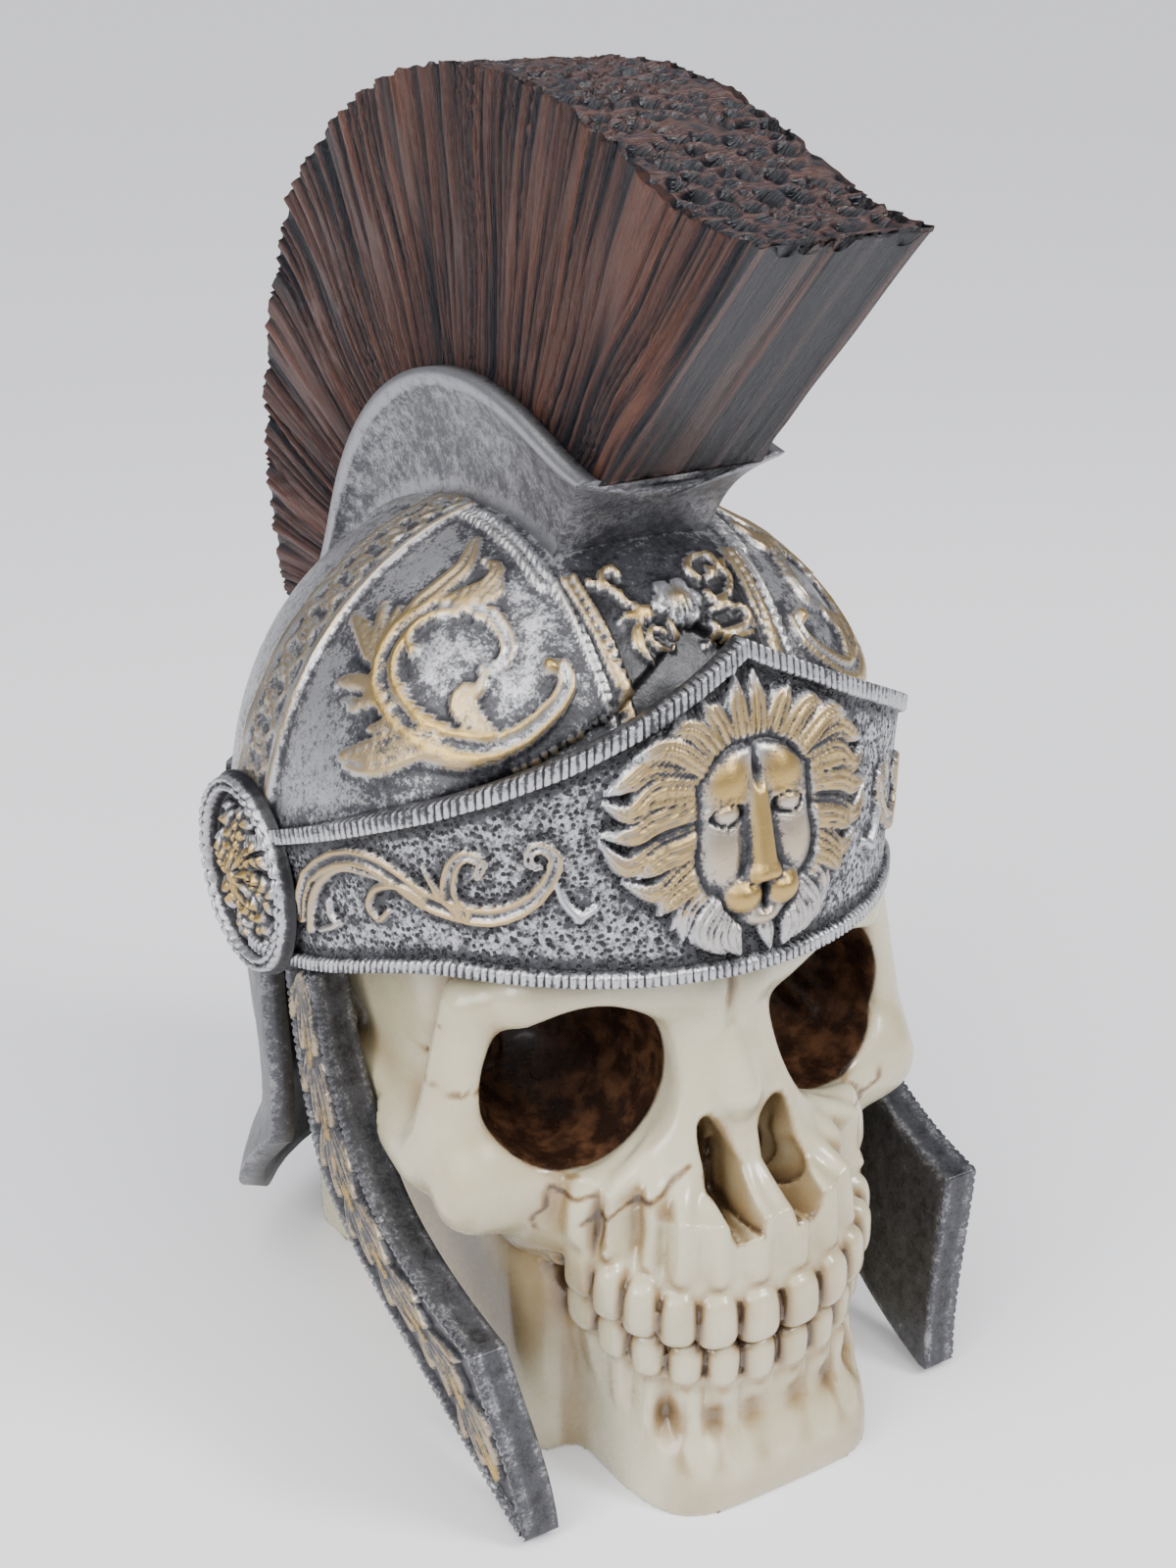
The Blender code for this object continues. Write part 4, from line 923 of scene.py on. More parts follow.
    def build(self) -> bpy.types.Object:
        """Makes the dome."""
        rings = self.rings()
        normals = surface_normals(rings)
        if (normals[10, :, 2]).mean() < 0.0:
            normals = -normals
        relief = Relief(rings, normals, lambda q: dome_angles(q[:, 0], q[:, 1]))
        self.ornament(relief)
        noise = value_noise(rings / 2.4) - 0.5
        relief.height += 0.12 * noise
        moved, wear = finish_relief(relief, rings, 5, 1.1)
        panel = (np.abs(rings[..., 0]) < 16.5) & (rings[..., 1] < -30.0) & (relief.height < 0.5)
        near_band = smooth_step(5.0, 0.5, rings[..., 2] - band_top_z(np.arctan2(
            rings[..., 0] / BAND_HALF_WIDTH, -rings[..., 1] / BAND_DEPTH)))
        wear = wear + 0.09 - 0.24 * panel - 0.14 * near_band
        return Skin(moved, {"wear": wear, "gold": relief.gold}).build("dome", self.material)


@dataclass
class BrowBand:
    """The pointed band with its notched rims, stippled face, lion's head and scrolls."""

    material: bpy.types.Material
    front_columns: int = 680
    back_columns: int = 40
    face_rows: int = 94

    def angles(self) -> Array:
        """Stations round the band, close together in front of the ears."""
        edge = math.radians(98.0)
        front = np.linspace(-edge, edge, self.front_columns)
        back = np.linspace(edge, math.tau - edge, self.back_columns + 2)[1:-1]
        return np.concatenate([front, back])

    @staticmethod
    def lion_face(a: Array, b: Array) -> tuple[Array, Array]:
        """The lion's face over local coordinates in millimetres.

        Its rounded forms are joined by the fourth root of the sum of their fourth powers, which leaves
        soft fillets.

        Args:
            a: Distance sideways from the face's middle.
            b: Distance above the face's middle.

        Returns:
            The height of the face, and how gilt it is.
        """
        x = np.abs(a)

        def form(
            cx: float,
            cy: float,
            rx: float,
            ry: float,
            rise: float,
            soft: float = 0.75,
            lean: float = 0.0,
        ) -> Array:
            """A rounded mound with its centre, two radii, height, edge softness and lean."""
            u, v = x - cx, b - cy
            u, v = u * math.cos(lean) + v * math.sin(lean), v * math.cos(lean) - u * math.sin(lean)
            return rise * np.clip(1.0 - (u / rx) ** 2 - (v / ry) ** 2, 0.0, 1.0) ** soft

        half = np.interp(b, [-20.0, -14.0, -7.0, 1.0, 9.0, 15.5], [4.0, 8.4, 10.6, 13.2, 13.4, 6.0])
        face = 2.8 * np.clip(1.0 - (x / half) ** 4, 0.0, 1.0) ** 0.5
        face *= smooth_step(17.0, 13.0, b) * smooth_step(-20.0, -16.0, b)
        brow = form(6.2, 8.6, 6.0, 6.8, 3.5, 1.0, 0.3)
        lid = form(7.2, 4.4, 5.2, 1.5, 3.9, 0.6, -0.18)
        eye = form(6.9, 2.8, 3.0, 1.7, 3.5, 0.5, -0.15)
        low_lid = form(7.0, 0.9, 4.4, 1.0, 3.2, 0.7, 0.12)
        width = np.interp(b, [-10.0, 0.0, 9.0], [3.6, 2.9, 2.6])
        bridge = np.interp(b, [-11.0, -8.5, 0.0, 6.0, 11.0], [5.2, 5.7, 4.7, 3.8, 1.5])
        bridge = bridge * np.clip(1.0 - (x / width) ** 3, 0.0, 1.0) ** 0.6
        bridge = bridge * smooth_step(-12.0, -9.8, b) * smooth_step(13.0, 8.0, b)
        nose = form(2.0, -8.6, 2.6, 2.3, 4.6, 0.6)
        pad = form(4.3, -12.3, 4.4, 4.0, 5.0, 0.6)
        chin = form(0.0, -17.2, 4.6, 2.3, 3.6, 0.7)
        cheek = form(7.6, -4.0, 6.6, 9.5, 3.6, 1.0)
        parts = np.stack([face, brow, lid, eye, low_lid, bridge, nose, pad, chin, cheek])
        height = (parts**4).sum(0) ** 0.25
        cut = 1.6 * bell(x, 0.5) * smooth_step(-10.0, -11.0, b) * smooth_step(-16.5, -15.5, b)
        cut = cut + 1.5 * bell(x, 0.9) * smooth_step(6.0, 9.0, b) * smooth_step(16.0, 12.0, b)
        cut = cut + 1.0 * bell(b + 10.3, 0.5) * smooth_step(4.5, 3.0, x)
        ring = np.sqrt(((x - 6.9) / 3.1) ** 2 + ((b - 3.0) / 1.9) ** 2)
        cut = cut + 1.5 * bell(ring - 1.0, 0.16)
        side = 0.7 * bell(x - width - 1.0, 1.1) * smooth_step(5.0, 0.0, b) * smooth_step(-11.0, -6.0, b)
        height = np.where(height > 0.0, np.maximum(height - cut - side, 0.3), 0.0)
        gilt = ((brow, 2.6), (lid, 5.0), (cheek, 6.0), (bridge, 3.6), (nose, 4.0), (pad, 3.4), (chin, 6.0))
        gold = np.maximum.reduce([part / full for part, full in gilt])
        return height, np.clip(gold, 0.0, 1.0)

    def lion(self, relief: Relief, a: Array, b: Array) -> None:
        """The head and its mane of flame-like locks.

        Args:
            relief: The band's relief.
            a: How far sideways of the head's middle each point lies.
            b: How far above the head's middle it lies.
        """
        locks = [
            [(12.0, 11.5), (20.9, 13.5), (24.9, 11.4), (29.2, 9.2)],
            [(12.0, 8.6), (19.9, 9.4), (24.9, 5.6), (29.6, 7.6)],
            [(12.0, 5.0), (19.9, 4.0), (24.6, 1.6), (30.0, 1.6)],
            [(11.6, 1.1), (18.9, -0.9), (25.4, -4.4), (30.4, 0.3)],
            [(11.3, -2.8), (16.0, -6.1), (20.6, -9.6), (26.4, -7.4)],
            [(10.0, -6.2), (16.9, -10.3), (19.9, -14.1)],
            [(8.8, -8.8), (14.6, -12.9), (15.6, -19.6)],
            [(8.0, -12.0), (12.0, -17.7), (10.0, -22.8)],
            [(5.4, -15.4), (6.8, -19.7), (4.6, -24.3)],
            [(4.0, 12.5), (7.7, 20.3), (10.6, 24.0)],
            [(6.7, 12.5), (13.0, 19.2), (18.2, 19.0)],
            [(10.0, 11.3), (17.6, 16.7), (24.2, 15.7)],
            [(1.2, 12.5), (2.4, 20.0), (2.6, 27.5)],
            [(12.0, 7.0), (20.5, 7.0), (27.0, 4.4)],
            [(11.6, -1.0), (19.0, -3.4), (24.0, -6.8)],
            [(9.4, -7.4), (13.6, -11.5), (17.4, -17.0)],
            [(7.0, -14.0), (9.6, -19.5), (7.6, -23.6)],
        ]
        for number, lock in enumerate(locks):
            rise = 2.5 + 0.5 * (number % 3)
            gilt = 0.9 if lock[0][1] > -8.0 else 0.2
            relief.mirrored(lock, [2.6, 3.1, 2.7, 0.5], rise, section=Section.ROUND, gold=gilt, grooves=4)
        relief.stroke([(0.0, -17.0), (1.2, -20.5), (2.2, -24.6)], [2.4, 2.0, 0.5], 2.6, gold=0.2, grooves=3)
        near = (np.abs(a) < 15.0) & (np.abs(b) < 21.0)
        height, gold = self.lion_face(a[near], b[near])
        old = relief.height[near]
        relief.height[near] = np.maximum(old * smooth_step(0.0, 2.0, 2.0 - height), height)
        relief.gold[near] = np.where(height > 0.3, gold, relief.gold[near])

    def scrolls(self, relief: Relief) -> None:
        """The foliate scroll on each side, in local coordinates about the lion's place."""

        def of(points: Path) -> Path:
            """Local coordinates of places given by their bearing in degrees and their height."""
            return [((d - LION_SIDEWAYS) * BAND_MM_PER_DEGREE, z - LION_Z) for d, z in points]

        hollow, rounded = Section.HOLLOW, Section.ROUND
        stem = [(80.4, 112.7), (78.5, 120.8), (73.1, 127.3), (67.7, 130.5), (62.9, 130.3), (59.0, 128.1),
                (55.4, 125.7), (50.9, 124.3), (46.1, 123.8), (42.2, 125.0), (38.3, 128.1), (35.6, 132.7),
                (35.0, 136.7), (37.1, 138.4), (38.9, 137.3), (38.9, 135.0), (37.4, 134.6)]
        branch = [(78.2, 110.7), (77.0, 117.4), (73.7, 123.6), (68.6, 127.6), (59.6, 127.4)]
        low_curl = [(55.4, 125.7), (59.3, 127.2), (63.2, 125.5), (65.0, 121.4), (63.2, 118.9),
                    (61.4, 121.3)]
        high_curl = [(49.1, 124.2), (51.2, 127.5), (50.6, 132.9), (48.5, 135.6), (46.1, 134.5),
                     (46.7, 132.0)]
        thorn = [(73.4, 118.8), (73.1, 116.2), (71.9, 114.5), (75.8, 111.5)]
        end_leaf = [(35.0, 132.0), (33.8, 128.2), (31.4, 125.2), (29.0, 126.5)]
        strokes = [
            (stem, [1.6, 1.7, 2.1, 2.2, 2.0, 1.7, 1.3, 1.0, 0.7], 1.9, hollow, 0.85),
            (branch, [1.1, 1.2, 0.8, 0.5], 1.5, rounded, 0.7),
            (thorn, [0.6, 1.0, 0.6], 1.4, rounded, 0.3),
            (low_curl, [1.2, 1.0, 0.8, 0.7], 1.7, rounded, 0.8),
            (high_curl, [1.7, 1.6, 1.3, 1.0, 0.9], 1.9, hollow, 0.85),
            ([(49.7, 124.1), (52.7, 127.1), (55.4, 132.1)], [1.3, 1.2, 0.4], 1.5, rounded, 0.8),
            (end_leaf, [0.6, 0.9, 1.1, 0.7], 1.5, rounded, 0.0),
            ([(31.2, 124.6), (31.6, 124.6)], 1.0, 1.7, rounded, 0.0),
        ]
        for path, width, height, section, gold in strokes:
            relief.mirrored(of(path), width, height, section=section, gold=gold)

    def build(self) -> bpy.types.Object:
        """Makes the band as a closed ring."""
        angle = self.angles()
        share = np.linspace(0.0, 1.0, self.face_rows)[:, None]
        wide = angle[None, :] + 0.0 * share
        share = share + 0.0 * wide
        face = band_point(wide, share)
        normals = np.cross(np.gradient(face, axis=0), np.roll(face, -1, 1) - np.roll(face, 1, 1))
        normals /= np.linalg.norm(normals, axis=-1, keepdims=True) + 1e-12
        outward = face - DOME_CENTRE
        normals *= np.sign((normals * outward).sum(-1))[..., None]

        def wrap(q: Array) -> Array:
            """The band's surface at places sideways and above the lion's middle."""
            theta = np.radians((q[:, 0] - LION_SIDEWAYS) / BAND_MM_PER_DEGREE)
            low, top = band_low_z(theta), band_top_z(theta)
            return band_point(theta, np.clip((q[:, 1] + LION_Z - low) / (top - low), 0.0, 1.0))

        a = (np.degrees(wide) * BAND_MM_PER_DEGREE) + LION_SIDEWAYS
        b = face[..., 2] - LION_Z
        relief = Relief(face, normals, wrap)
        self.lion(relief, a, b)
        self.scrolls(relief)
        low, top = band_low_z(wide), band_top_z(wide)
        tall = top - low
        from_top, from_low = (1.0 - share) * tall, share * tall
        run = np.cumsum(np.linalg.norm(np.diff(face[0], axis=0, prepend=face[0, :1]), axis=-1))
        cut = np.maximum(np.cos(run / NOTCH_SPACING * math.tau), 0.0)[None, :] ** 3
        proud = RIM_PROUD - NOTCH_DEPTH * cut
        rim_top = smooth_step(RIM_TOP_HEIGHT, RIM_TOP_HEIGHT - 0.5, from_top) * proud
        rim_low = smooth_step(RIM_LOW_HEIGHT, RIM_LOW_HEIGHT - 0.5, from_low) * proud
        rims = np.maximum(rim_top, rim_low)
        relief.gold = np.where(rims > relief.height, 0.0, relief.gold)
        stipple = (relief.height < 0.4) * (rims < 0.2)
        relief.height = np.maximum(relief.height, rims)
        first, _ = cell_noise(face / 1.25)
        ahead = smooth_step(math.radians(100.0), math.radians(94.0), np.abs(wide))
        relief.height -= 0.32 * stipple * smooth_step(0.42, 0.2, first) * ahead
        over = relief.height - blurred(relief.height, 6, wrap=False)
        wear = np.clip(0.56 + over * 0.5 + 0.03 * relief.height, 0.0, 1.0)
        wear = wear - 0.10 * (rims > 0.5) - 0.2 * (rims > 0.5) * cut
        for away in (from_top - RIM_TOP_HEIGHT, from_low - RIM_LOW_HEIGHT):
            wear = wear - 0.18 * smooth_step(3.2, 0.4, np.abs(away - 0.4)) * (away > 0.0)
        moved = face + normals * relief.height[..., None]
        seated = smooth_step(52.0, 72.0, np.abs(np.degrees(angle)))[:, None]
        back = band_point(angle, np.ones_like(angle), -2.5) * (1.0 - seated)
        back = back + dome_ring(angle, band_top_z(angle), 0.5) * seated
        middle = dome_ring(angle, (band_top_z(angle) + 2.0 * band_low_z(angle)) / 3.0, WALL * 0.6)
        foot = dome_ring(angle, band_low_z(angle), WALL * 0.9)
        foot_out = band_point(angle, 0.0 * angle, -1.5)
        rings = np.concatenate([moved, back[None], middle[None], foot[None], foot_out[None]])
        extra = np.zeros((4, len(angle)))
        masks = {
            "wear": np.concatenate([wear, extra + 0.35]),
            "gold": np.concatenate([relief.gold, extra]),
            "stipple": np.concatenate([stipple * 1.0, extra]),
        }
        return Skin(rings, masks, looped=True).build("brow_band", self.material)


@dataclass
class CrestHolder:
    """The coved holder that carries the crest along the top of the dome."""

    material: bpy.types.Material
    stations: int = 210
    side_points: int = 34

    def build(self) -> bpy.types.Object:
        """Makes the holder as rings across it, from its front face to its back."""
        share = np.linspace(0.0, 1.0, self.stations) ** 1.05
        degrees = FAN_FRONT + (FAN_BACK - FAN_FRONT) * share
        lip = lip_radius(degrees)[:, None]
        base = (dome_radius(degrees) - 4.0)[:, None]
        s = np.linspace(0.0, 1.0, self.side_points)[None, :]
        half = HOLDER_HALF + 4.7 * s**3.2
        radius = base + (lip - 2.4 - base) * s
        side = [(radius, half + 0.0 * radius)]
        side += [(lip - 1.4, LIP_HALF + 0.0 * lip), (lip, LIP_HALF - 0.2 + 0.0 * lip)]
        side += [(lip, SLOT_HALF + 0.0 * lip), (lip - 3.0, SLOT_HALF + 0.0 * lip)]
        r = np.concatenate([part[0] for part in side], 1)
        x = np.concatenate([part[1] for part in side], 1)
        lean = -4.6 * np.sin(np.clip((r - base) / (lip - base), 0.0, 1.0) * math.pi) ** 1.2
        pull = smooth_step(7.0, 0.0, degrees - FAN_FRONT)[:, None]
        angle = degrees[:, None] - lean * pull * 0.55
        ring = np.concatenate([fan_point(angle, r, x), fan_point(angle, r, -x)[:, ::-1]], 1)
        noise = value_noise(ring / 1.6) - 0.5
        near_dome = np.clip((r - base - 4.0) / 3.0, 0.0, 1.0)
        edge = smooth_step(0.0, 1.0, np.abs(np.concatenate([near_dome, near_dome[:, ::-1]], 1)))
        wear = 0.58 + 0.2 * (1.0 - edge) + 0.25 * noise
        wear[:, self.side_points - 2 : self.side_points + 2] += 0.25
        wear[:, -self.side_points - 2 : -self.side_points + 2] += 0.25
        wear[0] = 0.6
        masks = {"wear": wear, "gold": 0.0 * wear}
        return Skin(ring, masks).build("crest_holder", self.material)


@dataclass
class NeckGuard:
    """The plain guard that hangs behind the ears and flares at its foot."""

    material: bpy.types.Material
    stations: int = 120
    rows: int = 40

    def build(self) -> bpy.types.Object:
        """Makes the guard as rings round its wall, one for each angle from one ear to the other."""
        start = math.radians(99.5)
        angle = np.linspace(start, math.tau - start, self.stations)
        degrees = np.minimum(np.degrees(angle), 360.0 - np.degrees(angle))
        drop = smooth_step(99.5, 107.5, degrees) * 0.62 + smooth_step(103.5, 133.5, degrees) * 0.38
        foot = BAND_LOW_SIDE_Z * (1.0 - drop) + 14.0 * drop - 2.0 * (1.0 - drop)
        top = BAND_LOW_SIDE_Z + 3.0
        s = np.linspace(0.0, 1.0, self.rows)[None, :]
        z = top + (foot[:, None] - top) * s
        waist = smooth_step(95.0, 55.0, z) * (1.0 - smooth_step(50.0, 30.0, z))
        flare = 5.0 * smooth_step(44.0, 20.0, z) - 2.0 * waist
        wide = angle[:, None] + 0.0 * z
        outer = dome_ring(wide, z, 0.8 - flare)
        inner = dome_ring(wide, z, 0.8 + WALL - flare)[:, ::-1]
        ring = np.concatenate([outer, inner], 1)
        noise = value_noise(ring / 3.0) - 0.5
        height = 0.25 * noise
        away = np.concatenate([outer - DOME_CENTRE, (DOME_CENTRE - outer)[:, ::-1]], 1)
        away[..., 2] = 0.0
        away /= np.linalg.norm(away, axis=-1, keepdims=True)
        rim = bell(s - 0.985, 0.02)
        wear = np.concatenate([0.44 + 0.25 * rim + 0.0 * z, 0.30 + 0.0 * z], 1) + 0.25 * noise
        masks = {"wear": wear, "gold": 0.0 * wear}
        return Skin(ring + away * height[..., None], masks).build("neck_guard", self.material)


@dataclass
class EarBoss:
    """A round ear boss with a roped rim and a deep acanthus flower."""

    material: bpy.types.Material
    side: float
    rows: int = 90
    columns: int = 220

    def build(self) -> bpy.types.Object:
        """Makes the boss as rings about its own axis, from the middle of its face out to its back edge."""
        face = np.linspace(0.15, BOSS_RADIUS, self.rows)
        radius = np.concatenate([face, [BOSS_RADIUS, 19.0, 16.0]])[:, None]
        turn = np.linspace(0.0, math.tau, self.columns, endpoint=False)[None, :]
        r = radius + 0.0 * turn
        a = turn + 0.0 * radius
        sway = a + 0.10 * np.sin(r / 3.0)
        leaf = np.abs(np.cos(sway * 4.0))
        reach = 15.8 * (0.66 + 0.34 * leaf**0.7)
        petal = 3.6 * np.sqrt(np.clip(1.0 - (r / reach) ** 3, 0.0, 1.0)) * (0.45 + 0.55 * leaf**0.6)
        petal -= 1.3 * bell(leaf - 1.0, 0.02) * smooth_step(3.5, 5.0, r)
        petal += 0.5 * np.sin(r * 2.1 + 2.0 * np.sin(a * 8.0)) * (r < reach) * smooth_step(4.0, 6.0, r)
        inner = np.abs(np.cos(a * 4.0 + math.pi / 2.0))
        inner_reach = 7.6 * (0.6 + 0.4 * inner)
        inner_petal = 4.9 * np.sqrt(np.clip(1.0 - (r / inner_reach) ** 2.4, 0.0, 1.0)) * (0.6 + 0.4 * inner)
        petal = np.maximum(petal, inner_petal)
        petal = np.maximum(petal, 5.6 * np.sqrt(np.clip(1.0 - (r / 2.8) ** 2, 0.0, 1.0)))
        rim = 3.4 * smooth_step(16.6, 17.4, r) * smooth_step(20.9, 19.6, r)
        rim *= 1.0 - 0.22 * np.maximum(np.cos(a * 40.0), 0.0) ** 3
        rim -= 0.8 * bell(r - 18.6, 0.4)
        height = np.maximum(petal, rim)
        lumpy = value_noise(np.stack([r * np.cos(a), r * np.sin(a), 0.0 * r], -1) / 1.4) - 0.5
        height = np.maximum(height + 0.5 * lumpy * (height > 0.4), 0.0)
        out = np.minimum(BOSS_FACE + height, BOSS_OUT)
        out[-3] = BOSS_IN + 2.3
        out[-2] = BOSS_IN + 0.3
        out[-1] = BOSS_IN
        points = np.stack([self.side * out, BOSS_Y + r * np.cos(a), BOSS_Z + r * np.sin(a)], -1)
        wear = np.clip(0.38 + (height - blurred(height, 6)) * 0.6 + 0.08 * (height - 2.2), 0.0, 1.0)
        gold = smooth_step(1.6, 3.0, petal) * smooth_step(0.30, 0.55, value_noise(points / 4.0) + 0.15)
        label = "ear_boss_left" if self.side > 0.0 else "ear_boss_right"
        return Skin(points, {"wear": wear, "gold": gold}).build(label, self.material)


def bezier(start: Array, bend: Array, finish: Array, share: Array) -> Array:
    """A curve from start to finish, drawn aside by its bend, at shares of its way."""
    return (1.0 - share) ** 2 * start + 2.0 * share * (1.0 - share) * bend + share**2 * finish


@dataclass
class CheekGuard:
    """A thick cheek guard with a beaded rim and gilt leaves on its outer face."""

    material: bpy.types.Material
    side: float
    stations: int = 270
    face_points: int = 78

    @staticmethod
    def edges(share: Array) -> tuple[Array, Array]:
        """Back and front edges in y and z, at shares of the way from its top to its tip."""
        share = share[:, None]
        tip, kink, knee = np.array([-76.0, 2.0]), np.array([-70.5, 44.0]), 0.72
        back = bezier(np.array([1.2, GUARD_TOP_Z]), np.array([-5.0, 26.0]), tip + (2.0, 0.0), share)
        upper = bezier(np.array([-12.0, GUARD_TOP_Z]), np.array([-21.0, 52.0]), kink, share / knee)
        lower = kink + (tip - kink) * (share - knee) / (1.0 - knee)
        return back, np.where(share <= knee, upper, lower)

    @staticmethod
    def outside(z: Array) -> Array:
        """How far out the outer face lies at a height: the guard leans in towards its foot."""
        return GUARD_OUT - (1.0 - smooth_step(0.0, 60.0, z)) * GUARD_LEAN

    def build(self) -> bpy.types.Object:
        """Makes the guard as rings across it, from its top to its tip."""
        share = np.linspace(0.0, 1.0, self.stations)
        back, front = self.edges(share)
        across = front - back
        width = np.linalg.norm(across, axis=1)[:, None]
        s = np.linspace(0.0, 1.0, self.face_points)[None, :]
        middle = (back + front) / 2.0
        run = np.cumsum(np.linalg.norm(np.diff(middle, axis=0, prepend=middle[:1]), axis=1))[:, None]
        v = (s - 0.5) * width
        rim = np.minimum(2.4, width * 0.3)
        edge = np.minimum(s, 1.0 - s) * width
        bead = 1.0 - 0.45 * np.maximum(np.cos(run / 1.6 * math.tau), 0.0) ** 3
        height = -1.4 + 1.4 * smooth_step(rim + 0.5, rim, edge) * bead
        height = height - 0.9 * bell(edge - rim * 0.95, 0.35)
        leaf = np.zeros_like(height)
        gold = np.zeros_like(height)
        sprig = [(0.55, 17.0, 3.0), (-0.55, 17.0, 3.0), (0.0, 20.0, 2.8), (1.0, 11.0, 2.4),
                 (-1.0, 11.0, 2.4)]
        for start in np.arange(2.0, 105.0, 15.0):
            for lean, reach, wide in sprig:
                t = np.clip((run - start) / reach, 0.0, 1.0)
                centre = lean * (t * 9.0 - 3.0 * t**2) * np.clip(width / 18.0, 0.4, 1.5)
                half = wide * np.sqrt(np.clip(np.sin(math.pi * t**0.8), 0.0, 1.0)) + 1e-6
                q = (v - centre) / half
                lobe = 2.2 * np.sqrt(np.clip(1.0 - q**2, 0.0, 1.0)) - 0.6 * bell(q, 0.2)
                lobe = np.where((np.abs(q) < 1.0) & (t > 0.0) & (t < 1.0), lobe * (0.5 + 0.5 * t), 0.0)
                gold = np.where(lobe > leaf, 1.0 if abs(lean) < 0.5 else 0.55, gold)
                leaf = np.maximum(leaf, lobe)
        leaf *= edge > rim
        height = height + leaf

        def row(share: Array, sunk: Array | float) -> Array:
            """Points at shares of the way from the back edge to the front, sunk below the outside."""
            y = back[:, None, 0] + across[:, None, 0] * share
            z = back[:, None, 1] + across[:, None, 1] * share
            return np.stack([self.side * (self.outside(z) - sunk), y, z], -1)

        thick = np.linspace(0.0, 1.0, 8)[None, 1:-1]
        outer, inner = row(s, -height), row(np.linspace(1.0, 0.0, 24)[None, :], GUARD_THICKNESS)
        front_wall = row(1.0 + 0.0 * thick, GUARD_THICKNESS * thick)
        back_wall = row(0.0 * thick, GUARD_THICKNESS * (1.0 - thick))
        ring = np.concatenate([outer, front_wall, inner, back_wall], 1)
        over = height - blurred(height, 5, wrap=False)
        wear = np.clip(0.40 + over * 0.5 + 0.10 * leaf, 0.0, 1.0)
        plain = ring.shape[1] - self.face_points
        noise = value_noise(ring / 2.5) - 0.5
        rubbed = np.full((self.stations, plain), 0.30)
        for column in (0, 1, 5, 6, 7, 28, 29, 30, 35):
            rubbed[:, column] = 0.52
        wear = np.concatenate([wear, rubbed], 1) + 0.25 * noise
        gilt = np.concatenate([gold * smooth_step(0.5, 1.2, leaf), np.zeros((self.stations, plain))], 1)
        label = "cheek_guard_visual_left" if self.side > 0.0 else "cheek_guard_visual_right"
        return Skin(ring, {"wear": wear, "gold": gilt}).build(label, self.material)


# The crest


